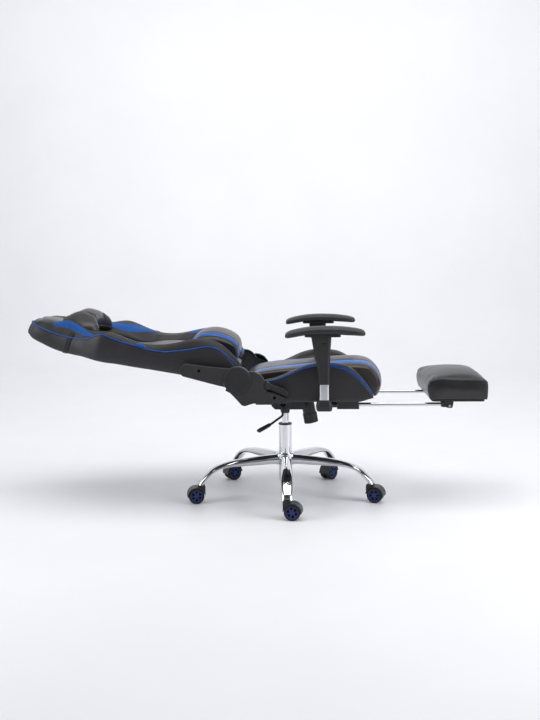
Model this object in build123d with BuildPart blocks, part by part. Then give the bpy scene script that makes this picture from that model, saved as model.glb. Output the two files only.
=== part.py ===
"""Reclining chair with bolstered seat, swivel base on castors and a pull-out foot rest.

Frame: millimetres, +X the way the sitter faces, +Y the sitter's left, +Z up.
Origin on the floor, on the axis of the column. The pose is reclined, foot rest drawn out.
"""
from build123d import *
from math import sin, cos, radians
import os

os.makedirs("parts", exist_ok=True)

# ---------------------------------------------------------------- driving dimensions
# star base
LEG_R = 341.0            # radius of the castor stem circle
BASE_YAW = 1.4           # degrees, first leg from -Y
HUB_R = 37.0
HUB_Z0, HUB_Z1 = 126.0, 172.0
LEG_END_Z = 72.0         # the legs are cut level here, above the castors
STEM_R = 5.5
LEG_STATIONS = [         # radius, height, slope in degrees, width, height of section
    (14, 148.0, 0.5, 42, 40), (50, 147.6, 0.7, 43, 38.4), (86, 147.0, 1.0, 44, 36.8), (118, 146.3, 1.5, 45, 35),
    (155, 145.5, 2.5, 45.5, 32.2), (190, 144.0, 4.5, 46, 29), (216, 142.5, 8, 46, 25.5), (238, 140.0, 12.5, 46, 22.5),
    (274, 131.5, 25, 45, 19.5), (303, 116.0, 38, 44, 18.5), (323, 98.5, 46, 43, 19), (347, 69.0, 54, 42, 20),
]
LEG_WALL = 2.2
# castors
WHEEL_R, WHEEL_W, WHEEL_GAP = 30.0, 18.0, 7.0
CASTOR_TRAIL = 20.0
AXLE_R = 4.0
CASTOR_HEADINGS = [-8.0, -20.0, -130.0, -149.0, -170.0]   # degrees, way the wheels trail
# column
TUBE_R, TUBE_Z0, TUBE_Z1 = 25.0, 62.0, 284.0
CYL_R, CYL_Z0, CYL_Z1 = 14.0, 112.0, 376.0
# tilt mechanism
PIVOT_X, PIVOT_Z = 20.0, 386.0
PIVOT_R = 6.0
PLATE_Z0, PLATE_Z1 = 408.0, 411.6
KNOB_TOP = Vector(88.5, 0, 365)
KNOB_TILT = 10.7         # degrees, the knob's foot leans forward
KNOB_R = 27.5
# seat
SEAT_Z = 412.0           # underside of the seat frame
SEAT_HALF = 255.0
PAD_HALF = 150.0         # half width of the middle panel
FRAME_TUBE = 11.0
WEB_Z = SEAT_Z + 2 * FRAME_TUBE
# recliner
HINGE = Vector(-170, 0, 498)
BACK_ANGLE = 12.0        # degrees of the backrest above the horizontal
CAP_R = 50.0
PIN_R = 8.0
# arm rests
ARM_X, ARM_Y = 143.0, 289.0
ARM_LEN = 284.0
# foot rest
RAIL_Y, RAIL_Z, RAIL_R = 155.0, 387.5, 7.0
FOOT_X0, FOOT_X1, FOOT_HALF = 528.0, 757.0, 182.0
FOOT_PIVOT = Vector(612, 0, 384)
FOOT_Z = 399.0           # underside of the foot rest

X, Y, Z = Vector(1, 0, 0), Vector(0, 1, 0), Vector(0, 0, 1)
ca, sa = cos(radians(BACK_ANGLE)), sin(radians(BACK_ANGLE))
BACK_U = Vector(-ca, 0, sa)      # up the backrest
BACK_N = Vector(sa, 0, ca)       # out of its front
SIDE = Plane(origin=(0, 0, 0), x_dir=(1, 0, 0), z_dir=(0, -1, 0))         # sketch (X, Z), normal -Y
BACK_SIDE = Plane(origin=HINGE, x_dir=BACK_U, z_dir=(0, 1, 0))            # sketch (s, h), normal +Y
BACK_FACE = Plane(origin=HINGE, x_dir=BACK_U, z_dir=BACK_N)               # sketch (s, y), normal out of the front


def side_at(y):
    """Sketch plane (X, Z) at a given Y, whose normal is -Y."""
    return Plane(origin=(0, y, 0), x_dir=(1, 0, 0), z_dir=(0, -1, 0))


def back_at(y):
    """Sketch plane (s, h) of the backrest at a given Y, whose normal is +Y."""
    return Plane(origin=(HINGE.X, y, HINGE.Z), x_dir=BACK_U, z_dir=(0, 1, 0))


def save(part, name):
    part.label = name
    export_step(part, f"parts/{name}.step")


# ================================================================ base
def leg_frame(k):
    a = radians(BASE_YAW - 90 + 72 * k)
    return Vector(cos(a), sin(a), 0), Vector(-sin(a), cos(a), 0)


with BuildPart() as star_base:
    with BuildSketch(Plane.XY.offset(HUB_Z0)):
        Circle(HUB_R)
    extrude(amount=HUB_Z1 - HUB_Z0)
    fillet(star_base.edges().filter_by(GeomType.CIRCLE), 4)
    for k in range(5):
        out, side = leg_frame(k)
        for r, z, slope, w, h in LEG_STATIONS:
            n = out * cos(radians(slope)) - Z * sin(radians(slope))
            with BuildSketch(Plane(origin=out * r + Z * z, x_dir=side, z_dir=n)):
                Ellipse(w / 2, h / 2)
        loft()
    with BuildSketch(Plane.XY.offset(LEG_END_Z)):
        Circle(500)
    extrude(amount=-60, mode=Mode.SUBTRACT)
    # the legs are tubes, open towards the hub's bore
    for k in range(5):
        out, side = leg_frame(k)
        for r, z, slope, w, h in LEG_STATIONS[:-2]:
            n = out * cos(radians(slope)) - Z * sin(radians(slope))
            with BuildSketch(Plane(origin=out * r + Z * z, x_dir=side, z_dir=n)):
                Ellipse(w / 2 - LEG_WALL, h / 2 - LEG_WALL)
        loft(mode=Mode.SUBTRACT)
    with BuildSketch(Plane.XY.offset(HUB_Z0 - 20)):
        Circle(TUBE_R + 0.05)
    extrude(amount=HUB_Z1 - HUB_Z0 + 40, mode=Mode.SUBTRACT)
    for k in range(5):
        out, side = leg_frame(k)
        with BuildSketch(Plane(origin=out * LEG_R + Z * (LEG_END_Z - 6), x_dir=out, z_dir=Z)):
            Circle(STEM_R + 0.08)
        extrude(amount=17, mode=Mode.SUBTRACT)
save(star_base.part, "star_base")

with BuildPart() as gas_lift_tube:
    with BuildSketch(Plane.XY.offset(TUBE_Z0)):
        Circle(TUBE_R)
    extrude(amount=TUBE_Z1 - TUBE_Z0)
    chamfer(gas_lift_tube.edges().group_by(Axis.Z)[0], 2)
    with BuildSketch(Plane.XY.offset(TUBE_Z0 + 4)):
        Circle(TUBE_R - 1.8)
    extrude(amount=TUBE_Z1 - TUBE_Z0, mode=Mode.SUBTRACT)
    with BuildSketch(Plane.XY.offset(TUBE_Z0 - 1)):
        Circle(5.5)
    extrude(amount=8, mode=Mode.SUBTRACT)
save(gas_lift_tube.part, "gas_lift_tube")

with BuildPart() as gas_lift_bush:
    with BuildSketch(Plane.XY.offset(215)):
        Circle(TUBE_R - 1.9)
    extrude(amount=TUBE_Z1 - 215)
    with BuildSketch(Plane.XY.offset(TUBE_Z1)):
        Circle(TUBE_R + 1.0)
    extrude(amount=5.5)
    fillet(gas_lift_bush.edges().group_by(Axis.Z)[-1], 1.5)
    with BuildSketch(Plane.XY.offset(200)):
        Circle(CYL_R + 0.1)
    extrude(amount=100, mode=Mode.SUBTRACT)
save(gas_lift_bush.part, "gas_lift_bush")

# ================================================================ lift rod (turns on the base)
with BuildPart() as lift_piston_rod:
    with BuildSketch(Plane.XY.offset(56)):
        Circle(5.0)
    extrude(amount=238)
    with BuildSketch(Plane.XY.offset(56)):
        Circle(9.0)
    extrude(amount=5.0)
    with BuildSketch(Plane.XY.offset(286)):
        Circle(11.7)
    extrude(amount=12)
save(lift_piston_rod.part, "lift_piston_rod")

with BuildPart() as lift_thrust_bearing:
    with BuildSketch(Plane.XY.offset(TUBE_Z0 + 4.3)):
        Circle(13)
        Circle(5.4, mode=Mode.SUBTRACT)
    extrude(amount=7)
    fillet(lift_thrust_bearing.edges().filter_by(GeomType.CIRCLE).sort_by(SortBy.RADIUS)[-2:], 1.5)
save(lift_thrust_bearing.part, "lift_thrust_bearing")

# ================================================================ carrier: cylinder and tilt housing
with BuildPart() as gas_lift_cylinder:
    with BuildSketch(Plane.XZ):
        with BuildLine():
            Polyline((5.5, CYL_Z0), (CYL_R, CYL_Z0), (CYL_R, 330), (CYL_R - 1.2, CYL_Z1), (4.3, CYL_Z1),
                     (4.3, CYL_Z1 - 8), (CYL_R - 2.0, CYL_Z1 - 12), (CYL_R - 2.0, CYL_Z0 + 18), (5.5, CYL_Z0 + 18), close=True)
        make_face()
    revolve(axis=Axis.Z)
save(gas_lift_cylinder.part, "gas_lift_cylinder")

with BuildPart() as lift_release_pin:
    with BuildSketch(Plane.XY.offset(CYL_Z1 - 22)):
        Circle(4.0)
    extrude(amount=32)
    with BuildSketch(Plane.XY.offset(CYL_Z1 - 22)):
        Circle(7.0)
    extrude(amount=5)
    fillet(lift_release_pin.edges().group_by(Axis.Z)[-1], 1.5)
save(lift_release_pin.part, "lift_release_pin")

kt = radians(KNOB_TILT)
KNOB_AXIS = Vector(sin(kt), 0, -cos(kt))            # down the knob
KNOB_PLANE = Plane(origin=KNOB_TOP, x_dir=(0, 1, 0), z_dir=KNOB_AXIS)

TRAY = [(-38, 352), (78, 352), (78, 380), (40, 394), (8, 394), (-52, 376), (-52, 365)]
with BuildPart() as tilt_housing:
    with BuildSketch(SIDE):
        with BuildLine():
            Polyline(*TRAY, close=True)
        make_face()
    extrude(amount=60, both=True)
    fillet(tilt_housing.edges().filter_by(Axis.Y), 3)
    with BuildSketch(SIDE):
        with BuildLine():
            Polyline((-35, 355), (74, 355), (74, 420), (-49, 420), (-49, 367), close=True)
        make_face()
    extrude(amount=57, both=True, mode=Mode.SUBTRACT)
    # socket for the column's taper
    with BuildSketch(Plane.XZ):
        with BuildLine():
            Polyline((0, 330), (16.5, 330), (20, 348), (20, 378), (0, 378), close=True)
        make_face()
    revolve(axis=Axis.Z)
    # spring cup on the front, leaning with the knob
    with BuildSketch(KNOB_PLANE.offset(-12)):
        Circle(25)
    extrude(amount=48)
    with BuildSketch(KNOB_PLANE.offset(-16)):
        Circle(22)
    extrude(amount=47, mode=Mode.SUBTRACT)
    with BuildSketch(KNOB_PLANE):
        Circle(6.4)
    extrude(amount=60, mode=Mode.SUBTRACT)
    # taper bore of the column
    with BuildSketch(Plane.XZ):
        with BuildLine():
            Polyline((0, 320), (CYL_R + 0.08, 320), (CYL_R + 0.08, 330), (CYL_R - 1.2 + 0.08, CYL_Z1 + 0.1),
                     (CYL_R - 1.2 + 0.08, 390), (0, 390), close=True)
        make_face()
    revolve(axis=Axis.Z, mode=Mode.SUBTRACT)
    # pivot pin holes and the slot the lever works in
    with BuildSketch(side_at(80)):
        with Locations((PIVOT_X, PIVOT_Z)):
            Circle(PIVOT_R + 0.12)
    extrude(amount=160, mode=Mode.SUBTRACT)
    with BuildSketch(side_at(-50)):
        with Locations((-8, 369)):
            Circle(9.0)
    extrude(amount=20, mode=Mode.SUBTRACT)
save(tilt_housing.part, "tilt_housing")

# compression spring in the cup
with BuildPart() as tilt_spring:
    with BuildLine() as coil:
        Helix(pitch=7.4, height=27, radius=16.5, center=tuple(KNOB_TOP + KNOB_AXIS * 28.5), direction=tuple(KNOB_AXIS * -1))
    with BuildSketch(Plane(origin=coil.line @ 0, z_dir=coil.line % 0)):
        Circle(2.2)
    sweep(is_frenet=True)
save(tilt_spring.part, "tilt_spring")

# tension knob with its bolt and washer
with BuildPart() as knob_grip:
    with BuildSketch(KNOB_PLANE.offset(37)):
        Circle(KNOB_R)
        with PolarLocations(KNOB_R + 1.2, 18):
            Circle(2.4, mode=Mode.SUBTRACT)
    extrude(amount=38)
    fillet(knob_grip.faces().sort_by(Axis.Z)[0].edges(), 2)
    with BuildSketch(KNOB_PLANE.offset(37)):
        Circle(5.1)
    extrude(amount=30, mode=Mode.SUBTRACT)
with BuildPart() as knob_bolt:
    with BuildSketch(KNOB_PLANE.offset(-9)):
        Circle(5.0)
    extrude(amount=75)
    with BuildSketch(KNOB_PLANE.offset(-8)):
        Circle(20.0)
    extrude(amount=4)
save(Compound(children=[knob_grip.part, knob_bolt.part]), "tension_knob")

# height lever: bent rod, cross pin at its inner end, moulded grip
LEVER_PTS = [(-8, -40, 369), (-8, -84, 369), (-9, -90, 334), (-50, -135, 311), (-92, -192, 297.5)]
with BuildPart() as lift_lever_rod:
    with BuildLine() as lever_path:
        FilletPolyline(*LEVER_PTS, radius=9)
    with BuildSketch(Plane(origin=lever_path.line @ 0, z_dir=lever_path.line % 0)):
        Circle(4.2)
    sweep()
    with BuildSketch(Plane(origin=(-20, -40, 369), x_dir=(0, 1, 0), z_dir=(1, 0, 0))):
        Circle(5.0)
    extrude(amount=24)
save(lift_lever_rod.part, "lift_lever_rod")

g0, g1 = Vector(*LEVER_PTS[3]), Vector(*LEVER_PTS[4])
g_dir = (g1 - g0).normalized()
g0 = g0 + g_dir * 10
GRIP = Plane(origin=g0, x_dir=(0, 0, 1), z_dir=g_dir)
with BuildPart() as lift_lever_grip:
    with BuildSketch(GRIP):
        Ellipse(6.5, 6.5)
    with BuildSketch(GRIP.offset(34)):
        Ellipse(7.5, 9.0)
    with BuildSketch(GRIP.offset(72)):
        Ellipse(7.0, 9.5)
    loft()
    fillet(lift_lever_grip.faces().sort_by(SortBy.AREA)[:2].edges(), 3)
    with BuildSketch(GRIP.offset(-1)):
        Circle(4.25)
    extrude(amount=64, mode=Mode.SUBTRACT)
save(lift_lever_grip.part, "lift_lever_grip")

# ================================================================ seat body
with BuildPart() as tilt_top_plate:
    with BuildSketch(Plane.XY.offset(PLATE_Z0)):
        with Locations((10, 0)):
            RectangleRounded(230, 190, 12)
    extrude(amount=PLATE_Z1 - PLATE_Z0)
    for y in (63.0, -69.0):
        with BuildSketch(side_at(y + 6)):
            with BuildLine():
                Polyline((PIVOT_X - 30, PLATE_Z0 + 1), (PIVOT_X - 13, PIVOT_Z - 12), (PIVOT_X + 13, PIVOT_Z - 12), (PIVOT_X + 30, PLATE_Z0 + 1), close=True)
            make_face()
        extrude(amount=6)
    with BuildSketch(side_at(80)):
        with Locations((PIVOT_X, PIVOT_Z)):
            Circle(PIVOT_R + 0.05)
    extrude(amount=160, mode=Mode.SUBTRACT)
    with BuildSketch(Plane.XY.offset(PLATE_Z0 - 1)):
        with GridLocations(170, 140, 2, 2):
            with Locations((10, 0)):
                Circle(4.3)
    extrude(amount=10, mode=Mode.SUBTRACT)
save(tilt_top_plate.part, "tilt_top_plate")

with BuildPart() as pivot_pins:
    with BuildSketch(side_at(74)):
        with Locations((PIVOT_X, PIVOT_Z)):
            Circle(PIVOT_R)
    extrude(amount=148)
    for y in (270.0, -252.5):
        with BuildSketch(side_at(y)):
            with Locations((HINGE.X, HINGE.Z)):
                Circle(PIN_R)
        extrude(amount=17.5)
save(pivot_pins.part, "pivot_pins")

with BuildPart() as seat_frame:
    with BuildLine(Plane.XY.offset(SEAT_Z + FRAME_TUBE)) as loop:
        FilletPolyline((-98, -212), (292, -212), (292, 212), (-98, 212), radius=45, close=True)
    with BuildSketch(Plane(origin=loop.line @ 0, z_dir=loop.line % 0)):
        Circle(FRAME_TUBE)
        Circle(FRAME_TUBE - 1.6, mode=Mode.SUBTRACT)
    sweep()
    for y in (-107.0, 107.0, 0.0):
        with BuildSketch(Plane.XY.offset(SEAT_Z)):
            with Locations((-75, y), (95, y), (143, y), (236, y)):
                Rectangle(34, 200 if y else 30)
        extrude(amount=3.5)
    with BuildSketch(Plane.XY.offset(SEAT_Z - 1)):
        with GridLocations(170, 140, 2, 2):
            with Locations((10, 0)):
                Circle(4.3)
    extrude(amount=14, mode=Mode.SUBTRACT)
save(seat_frame.part, "seat_frame")

with BuildPart() as seat_webbing:
    with BuildSketch(Plane.XY.offset(WEB_Z + 0.2)):
        with Locations((-70, 0), (5, 0), (80, 0), (155, 0), (230, 0)):
            Rectangle(52, 420)
    extrude(amount=2)
save(seat_webbing.part, "seat_webbing")

with BuildPart() as seat_bolts:
    with BuildSketch(Plane.XY.offset(PLATE_Z0 - 6.2)):
        with GridLocations(170, 140, 2, 2):
            with Locations((10, 0)):
                RegularPolygon(6.5, 6)
    extrude(amount=6)
    with BuildSketch(Plane.XY.offset(PLATE_Z0 - 1)):
        with GridLocations(170, 140, 2, 2):
            with Locations((10, 0)):
                Circle(4.1)
    extrude(amount=19)
save(seat_bolts.part, "seat_bolts")

CUSHION_Z = WEB_Z + 2.6
PAD_PROFILE = [(-146, CUSHION_Z), (-146, 486), (-140, 492), (-120, 495.5), (-108, 505), (-60, 515), (0, 521), (70, 530), (150, 538.5), (200, 543),
               (255, 547), (285, 547), (322, 540), (350, 523), (367, 496), (373, 465), (366, 428), (350, 402), (322, 402), (316, CUSHION_Z)]
BOLSTER_PROFILE = [(-112, CUSHION_Z), (-112, 478), (-67, 487), (-17, 500), (40, 525), (90, 542), (145, 547.5), (190, 542),
                   (222, 531), (258, 509), (292, 478), (318, 440), (318, CUSHION_Z)]
with BuildPart() as seat_pad:
    with BuildSketch(SIDE):
        with BuildLine():
            Polyline(*PAD_PROFILE, close=True)
        make_face()
    extrude(amount=PAD_HALF, both=True)
    with BuildSketch(Plane.XY.offset(CUSHION_Z - 1)):
        with Locations((95, 0)):
            RectangleRounded(360, 250, 20)
    extrude(amount=36, mode=Mode.SUBTRACT)
bolsters = []
for sign in (1, -1):
    with BuildPart() as bolster:
        with BuildSketch(side_at(sign * (PAD_HALF + 0.4))):
            with BuildLine():
                Polyline(*BOLSTER_PROFILE, close=True)
            make_face()
        extrude(amount=-sign * (SEAT_HALF - PAD_HALF - 0.4))
        with BuildSketch(side_at(sign * 226)):
            with BuildLine():
                Polyline((-112, SEAT_Z + 0.2), (322, SEAT_Z + 0.2), (318, 440), (-112, 440), close=True)
            make_face()
        extrude(amount=-sign * (SEAT_HALF - 226))
        top = bolster.edges().filter_by(lambda e: abs(e.center().Y) > SEAT_HALF - 1 and e.center().Z > 480)
        fillet(top, 16)
    bolsters.append(bolster.part)
save(Compound(children=[seat_pad.part] + bolsters), "seat_cushion")

# arm posts: flat-oval tube up, strap under the seat
with BuildPart() as arm_posts:
    with BuildSketch(Plane.XY.offset(SEAT_Z - 6.5)):
        with Locations((ARM_X, -ARM_Y)):
            RectangleRounded(36, 18, 8.8)
    extrude(amount=585 - SEAT_Z + 6.5)
    with BuildSketch(Plane.XY.offset(SEAT_Z - 6.5)):
        with Locations((ARM_X, -ARM_Y + 50)):
            Rectangle(34, 100)
    extrude(amount=6)
    with BuildSketch(Plane.XY.offset(SEAT_Z + 4)):
        with Locations((ARM_X, -ARM_Y)):
            RectangleRounded(31, 13, 6.4)
    extrude(amount=585, mode=Mode.SUBTRACT)
    mirror(about=Plane.XZ)
save(arm_posts.part, "arm_posts")

with BuildPart() as arm_post_caps:
    with BuildSketch(Plane.XY.offset(387)):
        with Locations((ARM_X, -ARM_Y)):
            RectangleRounded(52, 40, 12)
    with BuildSketch(Plane.XY.offset(397)):
        with Locations((ARM_X, -ARM_Y)):
            RectangleRounded(58, 44, 14)
    with BuildSketch(Plane.XY.offset(426)):
        with Locations((ARM_X, -ARM_Y)):
            RectangleRounded(46, 30, 12)
    loft()
    fillet(arm_post_caps.edges().group_by(Axis.Z)[0], 4)
    with BuildSketch(Plane.XY.offset(SEAT_Z - 6.8)):
        with Locations((ARM_X, -ARM_Y)):
            RectangleRounded(36.6, 18.6, 9.1)
    extrude(amount=40, mode=Mode.SUBTRACT)
    with BuildSketch(Plane.XY.offset(SEAT_Z - 6.8)):
        with Locations((ARM_X, -ARM_Y + 50)):
            Rectangle(34.6, 100.6)
    extrude(amount=6.6, mode=Mode.SUBTRACT)
    mirror(about=Plane.XZ)
save(arm_post_caps.part, "arm_post_caps")

with BuildPart() as footrest_guides:
    with BuildSketch(Plane.XY.offset(373)):
        with Locations((236, -RAIL_Y)):
            RectangleRounded(82, 42, 5)
    extrude(amount=SEAT_Z - 373.3)
    with BuildSketch(Plane(origin=(190, 0, 0), x_dir=(0, 1, 0), z_dir=(1, 0, 0))):
        with Locations((-RAIL_Y, RAIL_Z)):
            Circle(RAIL_R + 0.3)
    extrude(amount=100, mode=Mode.SUBTRACT)
    mirror(about=Plane.XZ)
save(footrest_guides.part, "footrest_guides")

# recliner plates on the seat
with BuildPart() as recliner_seat_plates:
    with BuildSketch(side_at(-262)):
        with BuildLine():
            Polyline((HINGE.X - 30, HINGE.Z - 30), (HINGE.X + 20, 414), (-4, 414), (-4, 434), (-50, 456), (-46, 480), (-60, 490), (HINGE.X + 36, HINGE.Z + 24), close=True)
        make_face()
        with Locations((HINGE.X, HINGE.Z)):
            Circle(43)
    extrude(amount=5)
    with BuildSketch(Plane.XY.offset(SEAT_Z - 6.5)):
        with Locations((-75, -229)):
            Rectangle(60, 75)
    extrude(amount=6)
    with BuildSketch(side_at(-261.5)):
        with Locations((-75, 411.5)):
            Rectangle(60, 12)
    extrude(amount=5)
    with BuildSketch(side_at(-250)):
        with Locations((HINGE.X, HINGE.Z)):
            Circle(PIN_R + 0.05)
    extrude(amount=20, mode=Mode.SUBTRACT)
    with BuildSketch(side_at(-250)):
        with Locations((-60, 477)):
            Circle(6.08)
    extrude(amount=30, mode=Mode.SUBTRACT)
    mirror(about=Plane.XZ)
save(recliner_seat_plates.part, "recliner_seat_plates")

# plastic covers over the recliners
COVER_SEAT = [(-214, 461), (-196, 452), (-168, 422), (-155, 407), (-143, 404), (-128, 409), (-112, 413.5), (2, 413.5), (11, 419), (10, 427), (-3, 435),
              (-19, 443), (-42, 451.5), (-64, 457), (-67, 480), (-74, 502), (-88, 519), (-108, 529), (-124, 531), (HINGE.X + 20, HINGE.Z + 20), (HINGE.X - 30, HINGE.Z - 10)]
with BuildPart() as hinge_covers_seat:
    with BuildSketch(side_at(-267.4)):
        with BuildLine():
            Polyline(*COVER_SEAT, close=True)
        make_face()
    extrude(amount=22.6)
    fillet(hinge_covers_seat.faces().sort_by(Axis.Y)[0].edges(), 3)
    with BuildSketch(side_at(-267)):
        with BuildLine():
            Polyline(*COVER_SEAT, close=True)
        make_face()
        offset(amount=-3, kind=Kind.INTERSECTION)
    extrude(amount=20, mode=Mode.SUBTRACT)
    with BuildSketch(side_at(-260)):
        with Locations((HINGE.X, HINGE.Z)):
            Circle(CAP_R + 0.6)
    extrude(amount=40, mode=Mode.SUBTRACT)
    with BuildSketch(side_at(-280)):
        with Locations((-36, 434.5)):
            Circle(5.6)
    extrude(amount=20, mode=Mode.SUBTRACT)
    with BuildSketch(side_at(-260)):
        with Locations((-60, 477)):
            Circle(15.0)
    extrude(amount=40, mode=Mode.SUBTRACT)
    mirror(about=Plane.XZ)
save(hinge_covers_seat.part, "hinge_covers_seat")

with BuildPart() as recliner_caps:
    with BuildSketch(side_at(-267.4)):
        with Locations((HINGE.X, HINGE.Z)):
            Circle(CAP_R)
    extrude(amount=27)
    fillet(recliner_caps.faces().sort_by(Axis.Y)[0].edges(), 4)
    with BuildSketch(side_at(-267)):
        with Locations((HINGE.X, HINGE.Z)):
            Circle(CAP_R - 3)
    extrude(amount=24, mode=Mode.SUBTRACT)
    mirror(about=Plane.XZ)
save(recliner_caps.part, "recliner_caps")

# ================================================================ recline lever, right side
with BuildPart() as recline_lever:
    with BuildSketch(side_at(-272)):
        with BuildLine():
            Polyline((-66, 485), (-46, 481.5), (-22, 473), (-4, 467.5), (7, 460.5), (13.5, 450), (12, 441.5), (4, 440.5), (-19, 450.5), (-42, 459.5),
                     (-68, 471), close=True)
        make_face()
    extrude(amount=15)
    fillet(recline_lever.faces().sort_by(Axis.Y)[0].edges(), 3)
    with BuildSketch(side_at(-272)):
        with Locations((-60, 477)):
            Circle(12.5)
    extrude(amount=17)
    with BuildSketch(side_at(-258)):
        with Locations((-60, 477)):
            Circle(6.0)
    extrude(amount=14)
save(recline_lever.part, "recline_lever")

# ================================================================ backrest body
with BuildPart() as back_frame:
    with BuildLine(BACK_FACE.offset(-20.5)) as back_loop:
        FilletPolyline((45, -238), (470, -238), (610, -130), (690, -110), (690, 110), (610, 130), (470, 238), (45, 238), radius=30, close=True)
    with BuildSketch(Plane(origin=back_loop.line @ 0, z_dir=back_loop.line % 0)):
        Circle(9.5)
        Circle(8.0, mode=Mode.SUBTRACT)
    sweep()
    for s in (160, 420):
        with BuildSketch(BACK_FACE.offset(-14)):
            with Locations((s, 0)):
                Rectangle(26, 463)
        extrude(amount=3)
save(back_frame.part, "back_frame")

CORE = [(4, -10), (4, 26), (40, 38), (90, 50), (150, 55), (230, 54), (313, 38), (388, 15), (470, 8), (560, 16), (640, 36),
        (707, 50), (761, 52), (798, 42), (818, 20), (823, -2), (812, -10)]
with BuildPart() as back_core:
    with BuildSketch(BACK_SIDE):
        with BuildLine():
            Polyline(*CORE, close=True)
        make_face()
    extrude(amount=200, both=True)
    with BuildSketch(BACK_FACE.offset(-40)):
        with BuildLine():
            Polyline((0, -150), (599, -150), (599, -197), (640, -192), (700, -170), (780, -154), (812, -122), (824, -90), (824, 90), (812, 122),
                     (780, 154), (700, 170), (640, 192), (599, 197), (599, 150), (0, 150), close=True)
        make_face()
    extrude(amount=140, mode=Mode.INTERSECT)
BACK_BOLSTER = [(4, -10), (4, 40), (22, 58), (60, 92), (95, 114), (135, 121), (183, 107), (235, 84), (300, 62), (360, 54), (400, 60),
                (450, 80), (495, 86), (534, 76), (566, 52), (590, 30), (596, -10)]
back_bolsters = []
for sign in (1, -1):
    with BuildPart() as back_bolster:
        with BuildSketch(back_at(sign * (PAD_HALF + 0.4))):
            with BuildLine():
                Polyline(*BACK_BOLSTER, close=True)
            make_face()
        extrude(amount=sign * (SEAT_HALF - 3 - PAD_HALF - 0.4))
        outer = back_bolster.edges().filter_by(lambda e: abs(e.center().Y) > SEAT_HALF - 4).filter_by(
            lambda e: (e.center() - HINGE).dot(BACK_N) > 25 and abs((e @ 1 - e @ 0).Y) < 1 and (e.center() - HINGE).dot(BACK_U) > 8 and (e.center() - HINGE).dot(BACK_U) < 585)
        fillet(outer, 14)
    back_bolsters.append(back_bolster.part)
save(Compound(children=[back_core.part] + back_bolsters), "back_cushion")

# rear panel behind the frame
PANEL = [(30, -33), (212, -34), (400, -38.5), (509, -41), (570, -41), (620, -44.5), (655, -46), (690, -43), (738, -34.5), (785, -23), (808, -14.5),
         (810, -17.5), (785, -26), (738, -37.5), (690, -46), (655, -49), (620, -47.5), (570, -44), (509, -44), (400, -41.5), (212, -37), (30, -36)]
with BuildPart() as back_panel:
    with BuildSketch(BACK_SIDE):
        with BuildLine():
            Polyline(*PANEL, close=True)
        make_face()
    extrude(amount=260, both=True)
    with BuildSketch(BACK_FACE.offset(-60)):
        with BuildLine():
            Polyline((20, -246), (480, -250), (560, -240), (620, -190), (700, -165), (780, -150), (815, -110), (815, 110), (780, 150), (700, 165),
                     (620, 190), (560, 240), (480, 250), (20, 246), close=True)
        make_face()
    extrude(amount=60, mode=Mode.INTERSECT)
save(back_panel.part, "back_panel")

with BuildPart() as recliner_back_plates:
    with BuildSketch(back_at(-261)):
        with Locations((0, 0)):
            Circle(41)
        with BuildLine():
            Polyline((0, -24), (196, -24), (206, -14), (206, 8), (196, 16), (0, 30), close=True)
        make_face()
    extrude(amount=5)
    with BuildSketch(back_at(-257)):
        with Locations((90, -20.5), (165, -20.5)):
            Circle(7.5)
    extrude(amount=9.2)
    with BuildSketch(back_at(-262)):
        Circle(PIN_R + 0.12)
    extrude(amount=10, mode=Mode.SUBTRACT)
    mirror(about=Plane.XZ)
save(recliner_back_plates.part, "recliner_back_plates")

COVER_BACK = [(30, -33), (60, -33), (120, -30), (196, -26), (207, -18), (212, -4), (208, 12), (196, 21), (120, 26), (58, 33), (30, 36)]
with BuildPart() as hinge_covers_back:
    with BuildSketch(back_at(-267.4)):
        with BuildLine():
            Polyline(*COVER_BACK, close=True)
        make_face()
    extrude(amount=-22)
    fillet(hinge_covers_back.faces().sort_by(Axis.Y)[0].edges(), 3)
    with BuildSketch(back_at(-267)):
        with BuildLine():
            Polyline(*COVER_BACK, close=True)
        make_face()
        offset(amount=-3, kind=Kind.INTERSECTION)
    extrude(amount=-19.5, mode=Mode.SUBTRACT)
    with BuildSketch(back_at(-260)):
        Circle(CAP_R + 0.6)
    extrude(amount=-40, mode=Mode.SUBTRACT)
    with BuildSketch(back_at(-280)):
        with Locations((142, 6)):
            Circle(5.4)
    extrude(amount=-20, mode=Mode.SUBTRACT)
    mirror(about=Plane.XZ)
save(hinge_covers_back.part, "hinge_covers_back")

# pillows
HEAD_PILLOW = [(552, 24), (541, 60), (556, 92), (585, 110), (625, 114), (662, 104), (690, 84), (716, 58.5), (707, 57), (640, 39), (560, 19)]
with BuildPart() as head_pillow:
    with BuildSketch(BACK_SIDE):
        with BuildLine():
            Polyline(*HEAD_PILLOW, close=True)
        make_face()
    extrude(amount=142, both=True)
save(head_pillow.part, "head_pillow")

with BuildPart() as head_pillow_strap:
    with BuildSketch(Plane(origin=HINGE + BACK_U * 618, x_dir=(0, -1, 0), z_dir=BACK_U)):
        with BuildLine():
            Polyline((-200, 18), (-203, 18), (-203, -53), (203, -53), (203, 18), (200, 18), (200, -50), (-200, -50), close=True)
        make_face()
    extrude(amount=26)
save(head_pillow_strap.part, "head_pillow_strap")

LUMBAR = [(30, 36.5), (24, 84), (34, 116), (60, 140), (95, 149), (135, 146), (172, 132), (200, 108), (216, 74), (222, 55.5), (150, 56.5), (90, 51.5), (40, 39.5)]
with BuildPart() as lumbar_pillow:
    with BuildSketch(BACK_SIDE):
        with BuildLine():
            Polyline(*LUMBAR, close=True)
        make_face()
    extrude(amount=146, both=True)
save(lumbar_pillow.part, "lumbar_pillow")

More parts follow.
